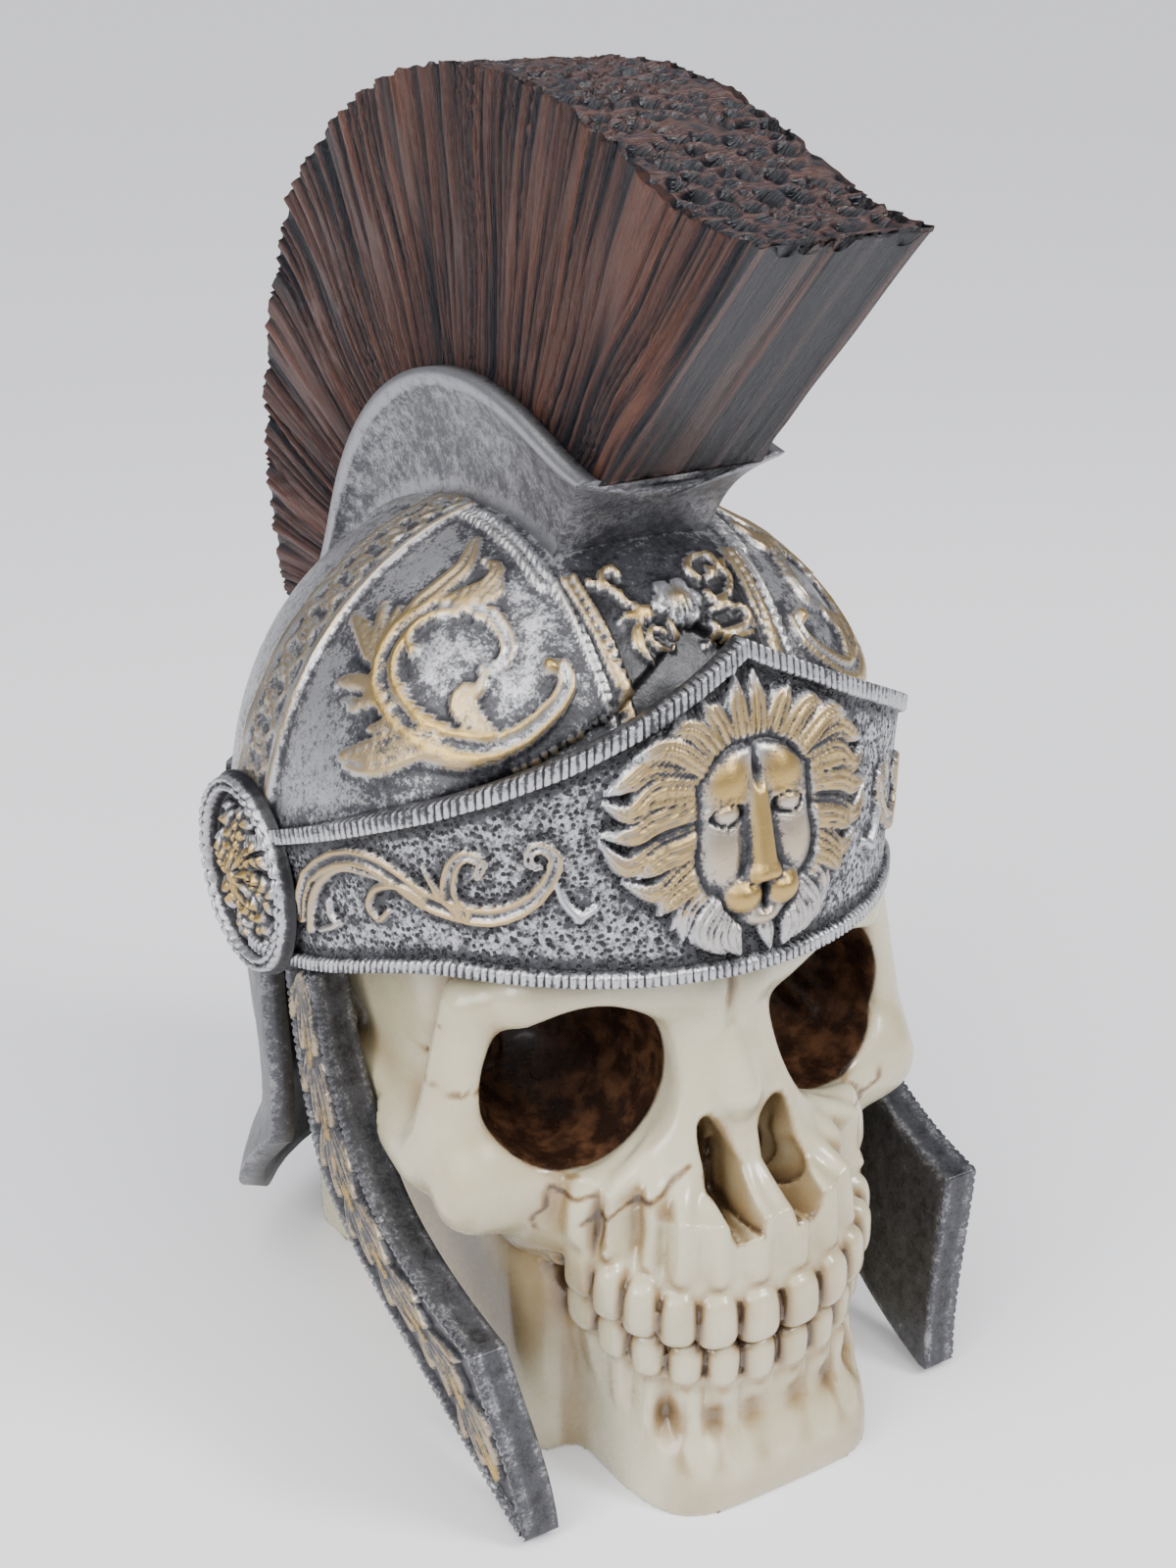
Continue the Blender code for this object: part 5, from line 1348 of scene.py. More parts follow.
@dataclass
class Crest:
    """The bristle crest: fine waved strands on its sides and ends, and a pitted top."""

    material: bpy.types.Material
    stations: int = 600
    side_points: int = 48
    top_points: int = 40

    def build(self) -> bpy.types.Object:
        """Makes the crest as rings across it: up one side, over the top and down the other."""
        share = np.linspace(0.0, 1.0, self.stations)
        degrees = (FAN_FRONT + (FAN_BACK - FAN_FRONT) * share)[:, None]
        foot = lip_radius(degrees[:, 0])[:, None] - 2.4
        top = crest_radius(degrees)
        s = np.linspace(0.0, 1.0, self.side_points)[None, :]
        radius = foot + (top - foot) * s
        half = CREST_HALF + 0.9 * s**2 + 0.0 * radius
        waves = value_noise(np.stack([degrees / 9.0 + 0.0 * s, radius / 26.0, 0.0 * radius], -1))
        lie = degrees * 1.9 + 5.0 * waves
        strand = value_noise(np.stack([lie / 1.3, radius / 60.0, 0.0 * radius], -1), 3.0)
        coarse = value_noise(np.stack([lie / 3.0, radius / 60.0, 0.0 * radius], -1), 5.0)
        ridge = 1.0 - np.abs(2.0 * strand - 1.0)
        depth = 1.7 * (coarse - 0.60) + 1.6 * (ridge - 0.65)
        fade = smooth_step(0.0, 0.08, s)
        half = half + depth * fade - 0.1
        w = np.linspace(-1.0, 1.0, self.top_points + 2)[None, 1:-1]
        flat = 18.6 * -w + 0.0 * degrees
        place = np.stack([flat, degrees * 1.9 + 0.0 * flat, 0.0 * flat], -1)
        bend = value_noise(place / 5.0, 9.0)[..., None] * 3.0
        first, second = cell_noise((place + bend) / 4.4, 2.0)
        wall = smooth_step(0.34, 0.04, second - first)
        hole = -3.4 * smooth_step(0.75, 0.25, first) * (1.0 - wall)
        top_radius = top - 0.5 + hole + 0.9 * (value_noise(place / 2.2, 4.0) - 0.7)
        ragged = 1.2 * value_noise(np.stack([lie[:, -1:] / 2.0, 0.0 * degrees, 0.0 * degrees], -1), 7.0)
        ragged = ragged * smooth_step(FAN_FRONT, FAN_FRONT + 6.0, degrees)
        radius = radius - ragged * s**8
        left = fan_point(degrees, radius, half)
        middle = fan_point(degrees, top_radius, flat)
        right = fan_point(degrees, radius, -half)[:, ::-1]
        ring = np.concatenate([left, middle, right], 1)
        wear = 0.44 + 0.8 * (ridge - 0.5) + 0.35 * (coarse - 0.5)
        top_wear = 0.10 + 0.55 * wall + 0.07 * hole + 0.0 * flat
        rust = smooth_step(0.55, 0.9, coarse) * 0.35 + 0.6 * smooth_step(0.07, 0.0, share)[:, None]
        rust = np.clip(rust, 0.0, 1.0)
        masks = {
            "wear": np.concatenate([wear, top_wear, wear[:, ::-1]], 1),
            "rust": np.concatenate([rust, 0.0 * flat, rust[:, ::-1]], 1),
            "lie": np.concatenate([lie, place[..., 1] * 0.3, lie[:, ::-1]], 1),
            "reach": np.concatenate([radius, flat, radius[:, ::-1]], 1),
        }
        ring, masks = self.with_front(ring, masks)
        return Skin(ring, masks).build("crest_bristle", self.material)

    def with_front(self, ring: Array, masks: dict[str, Array]) -> tuple[Array, dict[str, Array]]:
        """Closes each end by rings that shrink to its middle, so that strands run up the end faces too.

        Args:
            ring: The crest's rings, from its front to its back.
            masks: The value of each mask at each point.

        Returns:
            The rings and the masks with the ends added.
        """
        rings, joined = ring, dict(masks)
        shrink = np.linspace(0.04, 0.97, 22)[:, None]
        for end, sign in ((0, -1.0), (-1, 1.0)):
            x = ring[end][:, 0] * shrink
            z = ring[end][:, 2] + 0.0 * x
            groove = value_noise(np.stack([x / 1.3, 0.0 * x + 3.0 * end, z / 45.0], -1), 8.0)
            band = value_noise(np.stack([x / 6.0, 0.0 * x, z / 60.0], -1), 6.0)
            y = ring[end][:, 1] + sign * -0.9 * (1.0 - groove) * (1.0 - shrink**8)
            face = {
                "wear": 0.40 + 0.6 * (groove - 0.45) + 0.3 * (band - 0.5),
                "rust": np.clip(0.25 + 0.9 * (band - 0.35) - 0.02 * x, 0.0, 1.0),
                "lie": x / 1.2,
                "reach": z,
            }
            if end == 0:
                rings = np.concatenate([np.stack([x, y, z], -1), rings])
                joined = {key: np.concatenate([face[key], mask]) for key, mask in joined.items()}
            else:
                rings = np.concatenate([rings, np.stack([x, y, z], -1)[::-1]])
                joined = {key: np.concatenate([mask, face[key][::-1]]) for key, mask in joined.items()}
        return rings, joined


# The skull


def ellipsoid(p: Array, centre: tuple, radii: tuple) -> Array:
    """Roughly the distance from points to an ellipsoid.

    Args:
        p: The points.
        centre: Its middle.
        radii: Its three radii.

    Returns:
        The distance, negative inside.
    """
    q = p - np.array(centre)
    near = np.sqrt(((q / np.array(radii)) ** 2).sum(-1))
    slope = np.sqrt(((q / np.array(radii) ** 2) ** 2).sum(-1)) + 1e-9
    return near * (near - 1.0) / slope


def capsule(p: Array, start: tuple, finish: tuple, first: float, last: float) -> Array:
    """The distance to a round bar that tapers from its first radius to its last.

    Args:
        p: The points.
        start: One end of its axis.
        finish: The other end.
        first: Its radius at the start.
        last: Its radius at the other end.

    Returns:
        The distance, negative inside.
    """
    a = np.array(start)
    along = np.array(finish) - a
    t = np.clip(((p - a) @ along) / (along @ along), 0.0, 1.0)
    return np.sqrt(((p - a - t[..., None] * along) ** 2).sum(-1)) - (first + (last - first) * t)


def merge(a: Array, b: Array, radius: float) -> Array:
    """The union of two fields, with a fillet of the given radius."""
    h = np.clip(0.5 + 0.5 * (b - a) / radius, 0.0, 1.0)
    return b + (a - b) * h - radius * h * (1.0 - h)


def carve(a: Array, b: Array, radius: float) -> Array:
    """The first field with the second taken out of it, with a fillet of the given radius."""
    return -merge(-a, b, radius)


def tilted(p: Array, centre: tuple, degrees: float, axis: int = 1) -> Array:
    """Points turned about an upright (2) or front-to-back (1) axis through a centre.

    Args:
        p: The points.
        centre: A point of the axis.
        degrees: How far they turn.
        axis: 1 for the front-to-back axis and 2 for the upright one.

    Returns:
        The turned points.
    """
    a = math.radians(degrees)
    q = p - np.array(centre)
    i, j = ((0, 2) if axis == 1 else (0, 1))
    u, v = q[..., i].copy(), q[..., j].copy()
    q[..., i] = u * math.cos(a) + v * math.sin(a)
    q[..., j] = v * math.cos(a) - u * math.sin(a)
    return q + np.array(centre)


def row_rise(y: Array) -> Array:
    """How far the tooth rows have risen at a place behind their front."""
    return (y - TEETH_FRONT) * ROW_TILT


def plan_oval(
    x: Array,
    y: Array,
    half: Array | float,
    front: Array | float,
    back: float,
    power: Array | float,
) -> Array:
    """The distance outside a squarish oval in plan, with straight sides behind it.

    Args:
        x: Places across.
        y: Places along, with the front at the lower values.
        half: Half its width.
        front: Where its front lies.
        back: Where the oval ends and the straight sides start.
        power: Its squareness, 2 for an ellipse.

    Returns:
        The distance, negative inside.
    """
    v = np.maximum(back - y, 0.0) / (back - front)
    return ((np.abs(x) / half) ** power + v**power + 1e-12) ** (1.0 / power) * half - half


@dataclass(frozen=True)
class ToothRow:
    """One row of teeth along an oval arch, each a place along the arch and a width."""

    teeth: tuple[tuple[float, float], ...]
    half: float
    front: float
    back: float
    z: float
    height: float
    up: float

    def arch(self) -> tuple[Array, Array, Array]:
        """Points of the arch in x and y, and how far along it each lies."""
        t = np.linspace(0.0, math.pi / 2.0, 300)
        xs = np.append(self.half * np.sin(t) ** (2.0 / 2.3), self.half + 2.0)
        ys = np.append(self.back - (self.back - self.front) * np.cos(t) ** (2.0 / 2.3), self.back + 20.0)
        run = np.concatenate([[0.0], np.cumsum(np.hypot(np.diff(xs), np.diff(ys)))])
        return xs, ys, run

    def along(self, p: Array) -> Array:
        """How far along the arch each point lies, by its bearing from the arch's middle."""
        xs, ys, run = self.arch()
        bearing = np.arctan2(xs / self.half, (self.back - ys) / (self.back - self.front))
        here = np.arctan2(p[..., 0] / self.half, (self.back - p[..., 1]) / (self.back - self.front))
        return np.interp(here, bearing, run)

    def roots(self, p: Array) -> Array:
        """1 over the middle of each tooth's root and 0 between roots."""
        here = self.along(p)
        ridge = [bell(here - place, width * 0.32) for place, width in self.teeth]
        return np.maximum.reduce(ridge)

    def field(self, p: Array) -> Array:
        """The distance to the nearest tooth: a rounded block, tapered towards the gum."""
        xs, ys, run = self.arch()
        nearest = np.full(p.shape[:-1], 50.0)
        for place, width in self.teeth:
            x, y = float(np.interp(place, run, xs)), float(np.interp(place, run, ys))
            ax, ay = np.interp(place + 1.0, run, xs) - x, np.interp(place + 1.0, run, ys) - y
            length = math.hypot(ax, ay)
            ax, ay = ax / length, ay / length
            qx = (p[..., 0] - x) * ax + (p[..., 1] - y) * ay
            qn = (p[..., 0] - x) * ay - (p[..., 1] - y) * ax
            qz = (p[..., 2] - self.z - (y - self.front) * ROW_TILT) * self.up
            half = width / 2.0 * (1.0 - 0.27 * np.clip(qz / self.height + 0.30, 0.0, 1.0) ** 1.6)
            k = (np.abs(qx) / half) ** 3.0 + (np.abs(qn + 3.4) / 4.8) ** 2.4
            k = k + (np.abs(qz) / (self.height / 2.0)) ** 3.4
            nearest = np.minimum(nearest, (k**0.29 - 1.0) * 5.2)
        return nearest


UPPER_ROW = ToothRow(
    ((5.0, 9.9), (14.2, 9.2), (22.4, 8.4), (30.0, 7.9), (36.9, 7.4), (44.0, 8.6), (52.2, 8.6)),
    34.3, TEETH_FRONT, -55.0, 40.4, 12.8, 1.0)
LOWER_ROW = ToothRow(
    ((4.2, 8.4), (12.1, 8.0), (19.8, 8.0), (27.4, 7.8), (34.9, 7.8), (43.0, 9.4)),
    32.0, -83.6, -54.0, 29.4, 11.0, -1.0)


@dataclass
class Skull:
    """The skull: bone built from bars, ellipsoids and ovals joined with fillets, and its skin."""

    material: bpy.types.Material
    step: float = 0.82

    @staticmethod
    def socket(p: Array) -> Array:
        """The distance to the eye socket's hollow, on the side where x is positive."""
        return ellipsoid(tilted(p, (28.0, -57.0, 86.0), -16.0), (28.5, -50.0, 86.0), (18.5, 29.0, 18.2))

    @staticmethod
    def teeth(d: Array, p: Array) -> Array:
        """Adds both rows of teeth and the ridges of their roots.

        Args:
            d: The field of the bone without teeth.
            p: The points that it stands for, all with x positive.

        Returns:
            The field with teeth and with the gap between the rows.
        """
        near = (p[..., 1] < -44.0) & (p[..., 2] < 86.0)
        q, z = p[near], p[near][..., 2]
        rise = row_rise(q[..., 1])
        level, front = z - rise, smooth_step(-50.0, -68.0, q[..., 1])
        upper = smooth_step(44.5, 49.5, level) * smooth_step(68.0, 54.0, level) * front
        lower = smooth_step(25.5, 23.0, level) * smooth_step(9.0, 15.0, level) * front
        part = d[near] + upper * (1.0 - 2.4 * UPPER_ROW.roots(q)) + lower * (0.8 - 1.8 * LOWER_ROW.roots(q))
        gap = np.abs(level - BITE_Z) + 0.25 + 3.0 * smooth_step(-50.0, -46.0, q[..., 1])
        top_row = np.maximum(UPPER_ROW.field(q), 34.3 - z + rise)
        low_row = np.maximum(LOWER_ROW.field(q), z - rise - 34.1)
        part = merge(part, np.minimum(top_row, low_row), 0.8)
        d = d.copy()
        d[near] = carve(part, gap, 0.4)
        return d

    @staticmethod
    def face(p: Array) -> Array:
        """The braincase, brow, cheekbones, upper jaw and nose bridge, joined with fillets."""
        x, y, z = p[..., 0], p[..., 1], p[..., 2]
        d = ellipsoid(p, (0.0, 4.0, 113.0), (57.5, 65.0, 61.0))
        d = merge(d, capsule(p, (7.0, -57.5, 104.0), (38.0, -51.5, 105.0), 8.5, 7.0), 8.0)
        d = merge(d, capsule(p, (46.0, -45.0, 102.0), (51.0, -44.0, 74.0), 6.0, 7.5), 6.0)
        cheekbone = (44.0, -47.5, 66.0)
        d = merge(d, ellipsoid(tilted(p, cheekbone, -24.0, 2), cheekbone, (14.0, 9.0, 11.5)), 6.0)
        d = merge(d, capsule(p, (52.0, -38.0, 68.0), (53.0, -8.0, 76.0), 7.0, 5.0), 5.0)
        d = merge(d, ellipsoid(p, (31.0, -22.0, 84.0), (19.0, 27.0, 30.0)), 8.0)
        front = -76.4 + 0.0112 * x**2 + 0.62 * np.maximum(z - 63.0, 0.0)
        front = front - 0.16 * (62.0 - np.minimum(z, 62.0)) - 0.22 * np.maximum(54.0 - z, 0.0)
        side = x - 34.0 + 0.22 * np.maximum(62.0 - z, 0.0)
        row = row_rise(y)
        plate = np.maximum(carve(front - y, -side, 7.0), np.maximum(45.0 - z + row, z - 92.0))
        d = merge(d, plate * 0.85, 6.0)
        bars = [
            ((16.0, -52.0, 69.0), (38.0, -49.0, 63.0), 7.5, 8.0, 6.0),
            ((22.0, -65.0, 58.0), (32.0, -48.0, 54.0), 8.0, 9.0, 6.0),
            ((0.0, -55.5, 99.0), (0.0, -66.5, 80.5), 5.5, 5.6, 4.0),
            ((6.5, -58.5, 95.0), (12.0, -68.0, 66.0), 4.6, 5.0, 4.5),
        ]
        for *bar, fillet in bars:
            d = merge(d, capsule(p, *bar), fillet)
        gum = np.maximum(plan_oval(x, y, 32.6, -83.0, -52.0, 2.4), np.abs(z - (52.4 + row)) - 8.0)
        return merge(d, gum, 5.0)

    @staticmethod
    def jaw(p: Array) -> Array:
        """The lower jaw: its body in plan and the upright branch behind it."""
        x, y, z = p[..., 0], p[..., 1], p[..., 2]
        half = 28.0 + smooth_step(20.0, 34.0, z) * 2.0
        chin = -88.0 + smooth_step(4.0, 20.0, z) * 4.2 + smooth_step(20.0, 30.0, z)
        square = 4.6 - smooth_step(8.0, 30.0, z) * 2.0
        body = plan_oval(x - 0.10 * np.maximum(y + 48.0, 0.0), y, half, chin, -50.0, square)
        body = np.maximum(body, z - 26.0 - np.maximum(row_rise(y), 0.0))
        across = np.abs(x - 33.0 - 0.06 * (y + 48.0)) + 0.5
        over = np.maximum(np.stack([across, np.abs(y + 27.0) - 20.0, np.abs(z - 30.0) - 32.0]), 0.0)
        branch = np.sqrt((over**2).sum(0)) - 7.0
        return merge(body, branch, 7.0)

    @staticmethod
    def hollowed(d: Array, p: Array) -> Array:
        """Takes the sockets, the nose opening and the dents out of a field.

        Args:
            d: The field of the solid bone.
            p: The points that it stands for, all with x positive.

        Returns:
            The field with the hollows, and with the ridges that lie inside the sockets.
        """
        x, y, z = p[..., 0], p[..., 1], p[..., 2]
        d = carve(d, capsule(p, (0.0, -70.0, 106.0), (0.0, -65.4, 95.0), 1.6, 0.8), 1.6)
        d = carve(d, Skull.socket(p), 2.5)
        ridge = [(41.5, -38.0, 73.5), (38.5, -29.0, 80.0), (31.0, -24.5, 79.0), (27.0, -23.0, 90.0)]
        thick = (2.2, 2.0, 1.8, 1.4)
        for number in range(3):
            bar = capsule(p, ridge[number], ridge[number + 1], thick[number], thick[number + 1])
            d = merge(d, bar, 2.0)
        d = carve(d, ellipsoid(p, (63.0, -24.0, 96.0), (12.0, 18.0, 26.0)), 6.0)
        drop = ellipsoid(tilted(p, (6.5, -76.0, 68.0), -15.0), (6.4, -74.0, 66.8), (3.9, 22.0, 11.6))
        drop = merge(drop, ellipsoid(p, (7.0, -74.0, 63.2), (4.9, 22.0, 6.4)), 2.0)
        d = carve(d, np.maximum(drop, 1.2 + 0.08 * (80.0 - z) - x), 1.6)
        d = carve(d, ellipsoid(p, (27.5, -76.0, 59.5), (6.0, 9.0, 9.0)), 6.0)
        for place in JAW_PITS:
            dent = bell(x - place, 2.7 + 0.03 * place) * bell(z - 17.0 - place * 0.05, 4.8)
            d = d + 2.3 * dent * smooth_step(-60.0, -68.0, y)
        return d

    @staticmethod
    def field(points: Array) -> Array:
        """The signed distance to the whole skull, about: negative inside the bone."""
        p = points.copy()
        p[..., 0] = np.abs(p[..., 0])
        d = np.minimum(Skull.face(p), Skull.jaw(p))
        base = np.maximum(ellipsoid(p, (0.0, 12.0, 40.0), (38.0, 42.0, 70.0)), p[..., 2] - 95.0)
        d = merge(d, base, 10.0)
        d = merge(d, capsule(p, (4.8, -62.0, 102.0), (3.4, -61.0, 95.5), 4.6, 3.4), 2.5)
        d = Skull.hollowed(d, p)
        return np.maximum(np.maximum(Skull.teeth(d, p), Skull.room(p)), -p[..., 2])

    @staticmethod
    def room(p: Array) -> Array:
        """Positive where the helmet or a cheek guard leaves no room for bone.

        Args:
            p: Points, all with x positive.

        Returns:
            The distance outside the room that is left.
        """
        half, front, back, rise = (
            size - SKULL_INSET for size in (DOME_HALF_WIDTH, DOME_FRONT, DOME_BACK, DOME_RISE)
        )
        y = p[..., 1] - DOME_CENTRE[1]
        depth = np.where(y < 0.0, front, back)
        z = np.maximum(p[..., 2] - DOME_CENTRE[2], 0.0)
        n = DOME_FULLNESS
        powers = np.abs(p[..., 0] / half) ** n + np.abs(y / depth) ** n + (z / rise) ** n
        level = (powers + 1e-12) ** (1.0 / n)
        shell = (level - 1.0) * half + 3.5 * (p[..., 2] < BAND_LOW_SIDE_Z)
        angle = np.arctan2(p[..., 0] / BAND_HALF_WIDTH, -p[..., 1] / BAND_DEPTH)
        opened = (np.abs(np.degrees(angle)) < 90.0) & (p[..., 2] < band_low_z(angle) - 0.6)
        shell = np.where(opened, -50.0, shell)
        _, edge = CheekGuard.edges(np.linspace(0.0, 1.0, 60))
        guard_front = np.interp(p[..., 2], edge[::-1, 1], edge[::-1, 0])
        beside = (p[..., 1] > guard_front - 2.0) & (p[..., 2] < 99.7)
        return np.maximum(shell, np.where(beside, p[..., 0] - 54.4, -50.0))

    def stations(self) -> tuple[Array, Array, Array]:
        """Places of the sampling lattice along x, y and z: fine over the teeth, coarse under the helmet."""
        step, medium, coarse = self.step, 1.6 * self.step, 5.0 * self.step
        half = [np.arange(step / 2.0, 37.0, step), np.arange(37.0, 62.0, medium)]
        ys = [np.arange(-93.0, -56.0, step), np.arange(-56.0, -24.0, medium),
              np.arange(-24.0, 68.0, coarse)]
        zs = [np.arange(-1.5 * step, 10.0, medium), np.arange(10.0, 72.0, step),
              np.arange(72.0, 111.0, medium), np.arange(111.0, 184.0, coarse)]
        return np.concatenate(half), np.concatenate(ys), np.concatenate(zs)

    def skin(self) -> tuple[Array, NDArray[np.int64]]:
        """The bone's surface as points and quads, one point in each lattice cell that the surface crosses.

        Each point is the mean of the crossings on its cell's edges, and is then drawn onto the surface
        along the field's slope. Each crossed edge joins the points of the four cells round it.

        Returns:
            The points, and the point numbers of each quad.
        """
        half, ys, zs = self.stations()
        sheets = (np.stack(np.meshgrid([x], ys, zs, indexing="ij"), -1) for x in half)
        value = np.stack([self.field(sheet)[0] for sheet in sheets])
        value = np.concatenate([value[::-1], value])
        xs = np.concatenate([-half[::-1], half])
        inside = value < 0.0
        corners = list(itertools.product((0, 1), repeat=3))
        size = np.array(value.shape) - 1
        count = sum(inside[a:a + size[0], b:b + size[1], c:c + size[2]].astype(int) for a, b, c in corners)
        cells = np.argwhere((count > 0) & (count < 8))
        number = np.full(size, -1)
        number[tuple(cells.T)] = np.arange(len(cells))
        places = (xs, ys, zs)
        total, hits = np.zeros((len(cells), 3)), np.zeros(len(cells))
        for first, second in itertools.combinations(corners, 2):
            if sum(abs(i - j) for i, j in zip(first, second)) != 1:
                continue
            one, two = cells + first, cells + second
            a, b = value[tuple(one.T)], value[tuple(two.T)]
            crossed = (a < 0.0) != (b < 0.0)
            share = np.where(crossed, a / np.where(crossed, a - b, 1.0), 0.0)[:, None]
            start = np.stack([axis[i] for axis, i in zip(places, one.T)], -1)
            finish = np.stack([axis[i] for axis, i in zip(places, two.T)], -1)
            total += np.where(crossed[:, None], start + (finish - start) * share, 0.0)
            hits += crossed
        points = total / hits[:, None]
        quads = []
        for axis in range(3):
            ahead = np.moveaxis(inside, axis, 0)
            change = ahead[1:].astype(int) - ahead[:-1].astype(int)
            change = np.moveaxis(change, 0, axis)
            change = change[tuple(slice(0, None) if k == axis else slice(1, -1) for k in range(3))]
            at = np.argwhere(change != 0) + np.array([0 if k == axis else 1 for k in range(3)])
            turned = change[change != 0] > 0
            across, up = [k for k in range(3) if k != axis]
            back, down = np.eye(3, dtype=int)[across], np.eye(3, dtype=int)[up]
            ring = [number[tuple((at - step).T)] for step in (0 * back, back, back + down, down)]
            ring = np.stack(ring, -1)
            flip = turned if axis != 1 else ~turned
            quads.append(np.where(flip[:, None], ring[:, ::-1], ring))
        for _ in range(2):
            here = self.field(points)
            slope = np.stack([self.field(points + 0.05 * axis) - here for axis in np.eye(3)], -1) / 0.05
            move = here[:, None] * slope / np.maximum((slope**2).sum(-1, keepdims=True), 0.2)
            points = points - np.clip(move, -0.5 * self.step, 0.5 * self.step)
        points[:, 2] = np.where(points[:, 2] < 0.3, 0.0, points[:, 2])
        return points, np.concatenate(quads)

    @staticmethod
    def cracks(p: Array) -> Array:
        """Fine sutures and stains on the face, in x and z, 1 on each line."""
        lines = [
            [(-46.5, 86.5), (-49.5, 87.8), (-51.0, 86.6), (-55.0, 88.0)],
            [(-31.0, 66.5), (-34.5, 65.2), (-37.0, 66.4), (-37.8, 62.0), (-40.5, 60.5), (-39.5, 57.5)],
            [(-14.0, 70.5), (-20.0, 66.4), (-27.0, 64.0), (-34.0, 60.5)],
            [(31.0, 65.8), (36.0, 66.6), (39.5, 63.2), (38.0, 61.0)],
            [(39.5, 63.2), (44.0, 65.0), (45.0, 69.0)],
            [(-53.0, 99.5), (-55.0, 101.5), (-57.5, 101.0)],
        ]
        dark = np.zeros(len(p))
        for line in lines:
            for (x0, z0), (x1, z1) in zip(line, line[1:]):
                along = np.array([x1 - x0, z1 - z0])
                offset = np.stack([p[:, 0] - x0, p[:, 2] - z0], -1)
                t = np.clip(offset @ along / (along @ along), 0.0, 1.0)
                away = np.linalg.norm(offset - t[:, None] * along, axis=1)
                dark = np.maximum(dark, bell(away, 0.45))
        return dark * (p[:, 1] < -25.0)

    def build(self) -> bpy.types.Object:
        """Makes the skull's skin and works out its brown wash, with painted shade in the hollows and under
        the cheekbones.
        """
        points, quads = self.skin()
        here = self.field(points)
        slope = np.stack([self.field(points + 0.1 * axis) - here for axis in np.eye(3)], -1)
        normals = slope / np.maximum(np.linalg.norm(slope, axis=1, keepdims=True), 1e-9)
        # Painted shade: how far the field a little way out along each normal falls short of open space, at
        # three reaches, so hollows come out darker.
        shade = sum(np.clip((h - self.field(points + normals * h)) / h - 0.10, 0.0, 1.5) * share
                    for h, share in ((1.2, 0.40), (3.0, 0.50), (7.0, 0.45)))
        mirrored = points * 1.0
        mirrored[:, 0] = np.abs(mirrored[:, 0])
        deep = smooth_step(1.6, 0.2, self.socket(mirrored)) * smooth_step(-61.0, -56.0, points[:, 1])
        x, y, z = mirrored.T
        pits = sum(bell(x - place, 3.0) * bell(z - 17.0 - place * 0.05, 5.0) for place in JAW_PITS)
        pits = pits * (y < -66.0)
        # Painted shade: the jaw's side under each cheekbone is darkened as if the cheekbone shaded it.
        under = smooth_step(30.0, 40.0, x) * smooth_step(58.0, 50.0, z) * smooth_step(12.0, 30.0, z)
        brim = smooth_step(3.0, 0.0, np.abs(self.socket(mirrored)))
        brim = brim * smooth_step(90.0, 70.0, z) * (y < -40.0)
        level = z - row_rise(y)
        crown = np.where(level > BITE_Z, UPPER_ROW.roots(mirrored), LOWER_ROW.roots(mirrored))
        crown = crown * smooth_step(24.0, 27.0, level) * smooth_step(48.0, 45.0, level) * (y < -45.0)
        # The wash: painted shade in the hollows, lighter on the tooth crowns, with real stains along the
        # cracks, more in the jaw pits and round the sockets' lower rims, and painted shade under the
        # cheekbones.
        wash_and_shade = 1.25 * shade * (1.0 - 0.85 * crown) + 0.9 * self.cracks(points)
        wash_and_shade = wash_and_shade + 0.38 * pits + 0.4 * under + 0.18 * brim
        values = {"wash_and_shade": np.clip(wash_and_shade, 0.0, 1.6), "socket": deep}
        placed = (points + np.array([0.0, HELMET_Y, 0.0])) * MM
        starts = np.arange(0, 4 * len(quads), 4)
        return solid_object("skull_bone", placed, quads.reshape(-1), starts, values, self.material)


# Setting


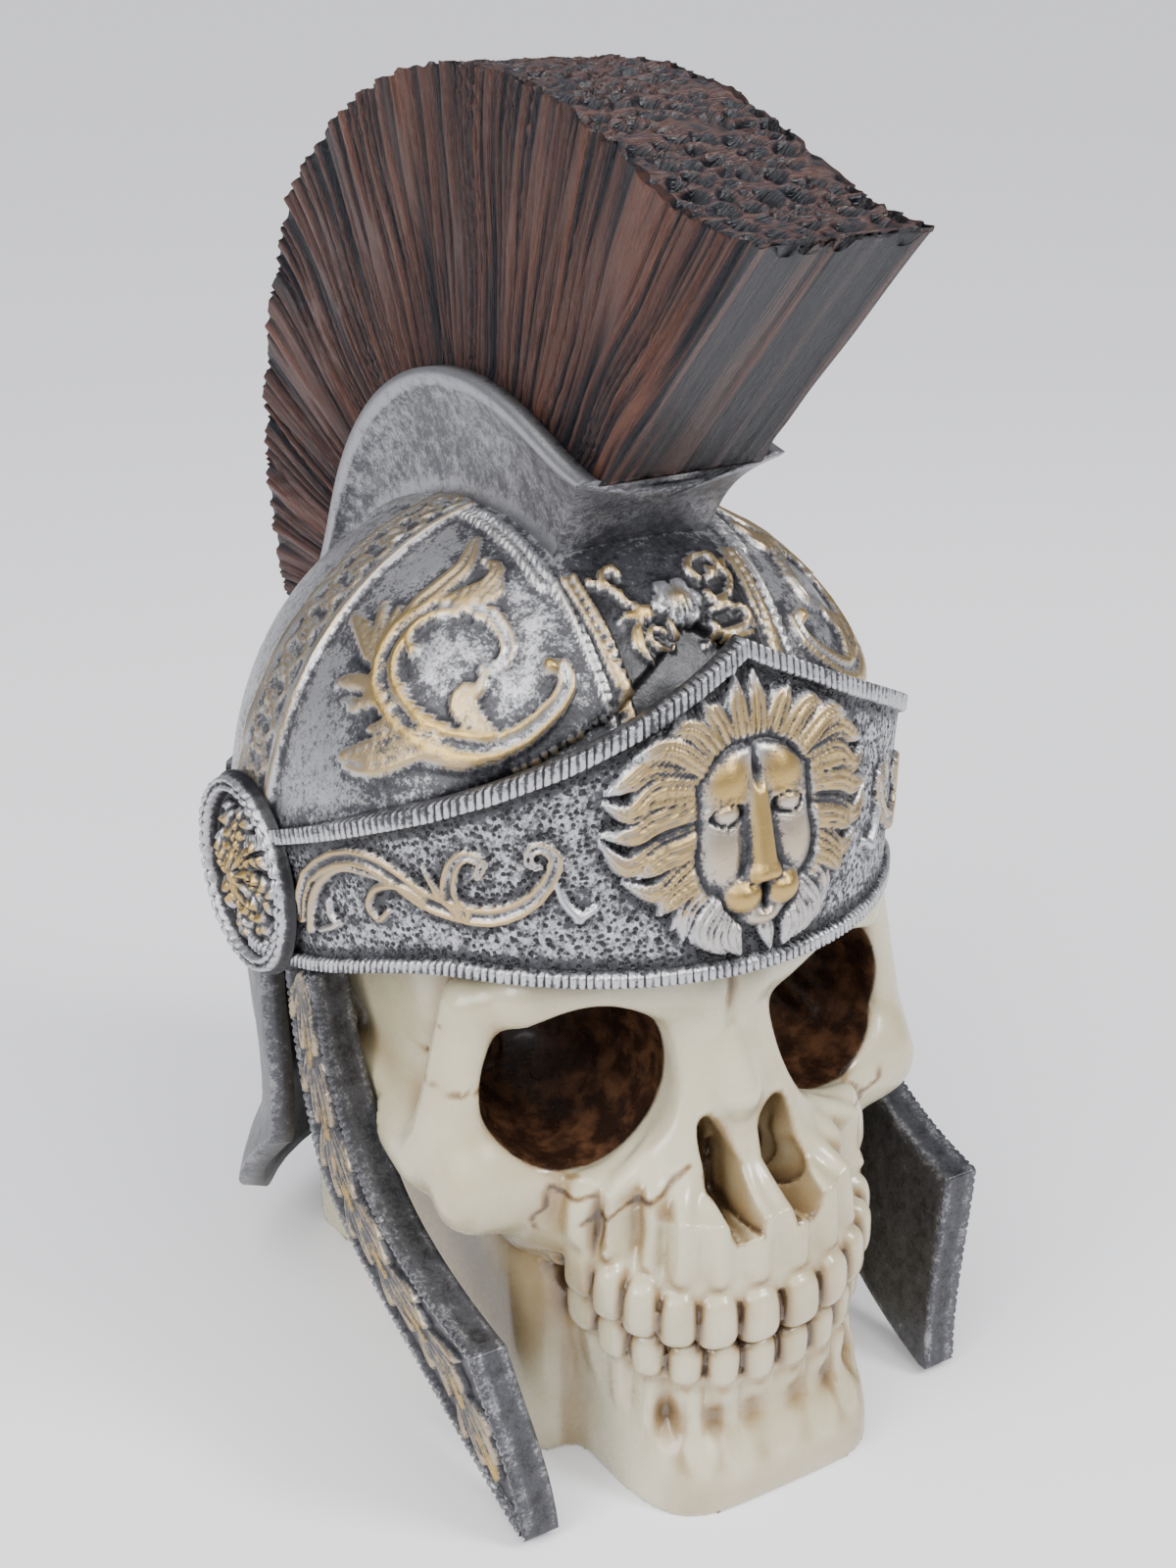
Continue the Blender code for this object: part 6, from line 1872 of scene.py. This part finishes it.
@dataclass
class Studio:
    """A pale sweep, soft light and the camera at the photograph's angle."""

    def build(self) -> None:
        """Makes the floor, the lights, the world and the camera."""
        mesh = bpy.data.meshes.new("floor")
        mesh.from_pydata([(-60, -60, 0), (60, -60, 0), (60, 60, 0), (-60, 60, 0)], [], [(0, 1, 2, 3)])
        floor = bpy.data.objects.new("floor", mesh)
        floor.location.z = -0.0002
        g = Graph("pale_floor")
        g.shader.inputs["Base Color"].default_value = (0.93, 0.93, 0.96, 1.0)
        g.shader.inputs["Roughness"].default_value = 0.55
        g.shader.inputs["Emission Color"].default_value = (0.92, 0.93, 1.0, 1.0)
        g.shader.inputs["Emission Strength"].default_value = 0.12
        mesh.materials.append(g.material)
        bpy.context.scene.collection.objects.link(floor)
        world = bpy.data.worlds.new("soft_room")
        world.use_nodes = True
        world.node_tree.nodes["Background"].inputs["Color"].default_value = (0.90, 0.92, 1.0, 1.0)
        world.node_tree.nodes["Background"].inputs["Strength"].default_value = 0.27
        bpy.context.scene.world = world
        self.light("key", (0.50, -0.80, 0.95), 0.35, 12.0)
        self.light("left", (-0.95, -0.25, 0.65), 0.5, 7.0)
        panel = bpy.data.lights.new("ceiling", "SUN")
        panel.energy = 3.1
        panel.angle = math.radians(75.0)
        ceiling = bpy.data.objects.new("ceiling", panel)
        ceiling.rotation_euler = (math.radians(18.0), math.radians(-22.0), 0.0)
        bpy.context.scene.collection.objects.link(ceiling)
        camera = bpy.data.cameras.new("camera")
        camera.lens = CAMERA_LENS
        camera.sensor_width = 36.0
        camera.clip_start = 0.01
        eye = bpy.data.objects.new("camera", camera)
        eye.location = ((np.array(CAMERA_AT) + (0.0, HELMET_Y, 0.0)) * MM).tolist()
        eye.rotation_euler = (math.radians(90.0 - CAMERA_ELEVATION), 0.0, math.radians(CAMERA_AZIMUTH))
        bpy.context.scene.collection.objects.link(eye)
        bpy.context.scene.camera = eye

    @staticmethod
    def light(name: str, place: tuple[float, float, float], size: float, power: float) -> None:
        """A square soft light that looks at the figurine's middle, in metres and watts."""
        lamp = bpy.data.lights.new(name, "AREA")
        lamp.size = size
        lamp.energy = power
        obj = bpy.data.objects.new(name, lamp)
        obj.location = place
        aim = np.array([0.0, 0.0, 0.12]) - np.array(place)
        tilt, turn = math.atan2(math.hypot(aim[0], aim[1]), -aim[2]), math.atan2(aim[0], -aim[1])
        obj.rotation_euler = (tilt, 0.0, turn + math.pi)
        bpy.context.scene.collection.objects.link(obj)


def keep(obj: bpy.types.Object, slot: str, *nodes: str) -> None:
    """Ties a finished piece to the row's one body, and hides the nodes it stands for."""
    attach(obj, "root")
    if nodes:
        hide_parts(*nodes)


def main() -> None:
    """Builds the figurine's pieces in order, and then its setting."""
    logging.basicConfig(level=logging.INFO)
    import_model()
    silver = AntiqueMetal().material()
    stippled = AntiqueMetal(name="stippled_silver", pits=820.0).material()
    dulled = (0.34, 0.34, 0.36, 1.0)
    shaded = AntiqueMetal(name="dark_silver", silver=dulled, worn_from=0.44, worn_to=0.85).material()
    keep(Dome(silver).build(), "antique_silver", "helmet")
    keep(BrowBand(stippled).build(), "antique_silver")
    keep(CrestHolder(shaded).build(), "antique_silver")
    keep(NeckGuard(shaded).build(), "antique_silver")
    for side in (1.0, -1.0):
        keep(EarBoss(silver, side).build(), "antique_silver")
    for side, node in ((1.0, "cheek_guard_left"), (-1.0, "cheek_guard_right")):
        keep(CheekGuard(shaded, side).build(), "dark_silver", node)
    keep(Crest(Bristle().material()).build(), "bristle", "crest")
    keep(Skull(AntiqueBone().material()).build(), "bone", "skull")
    Studio().build()


if __name__ == "__main__":
    main()
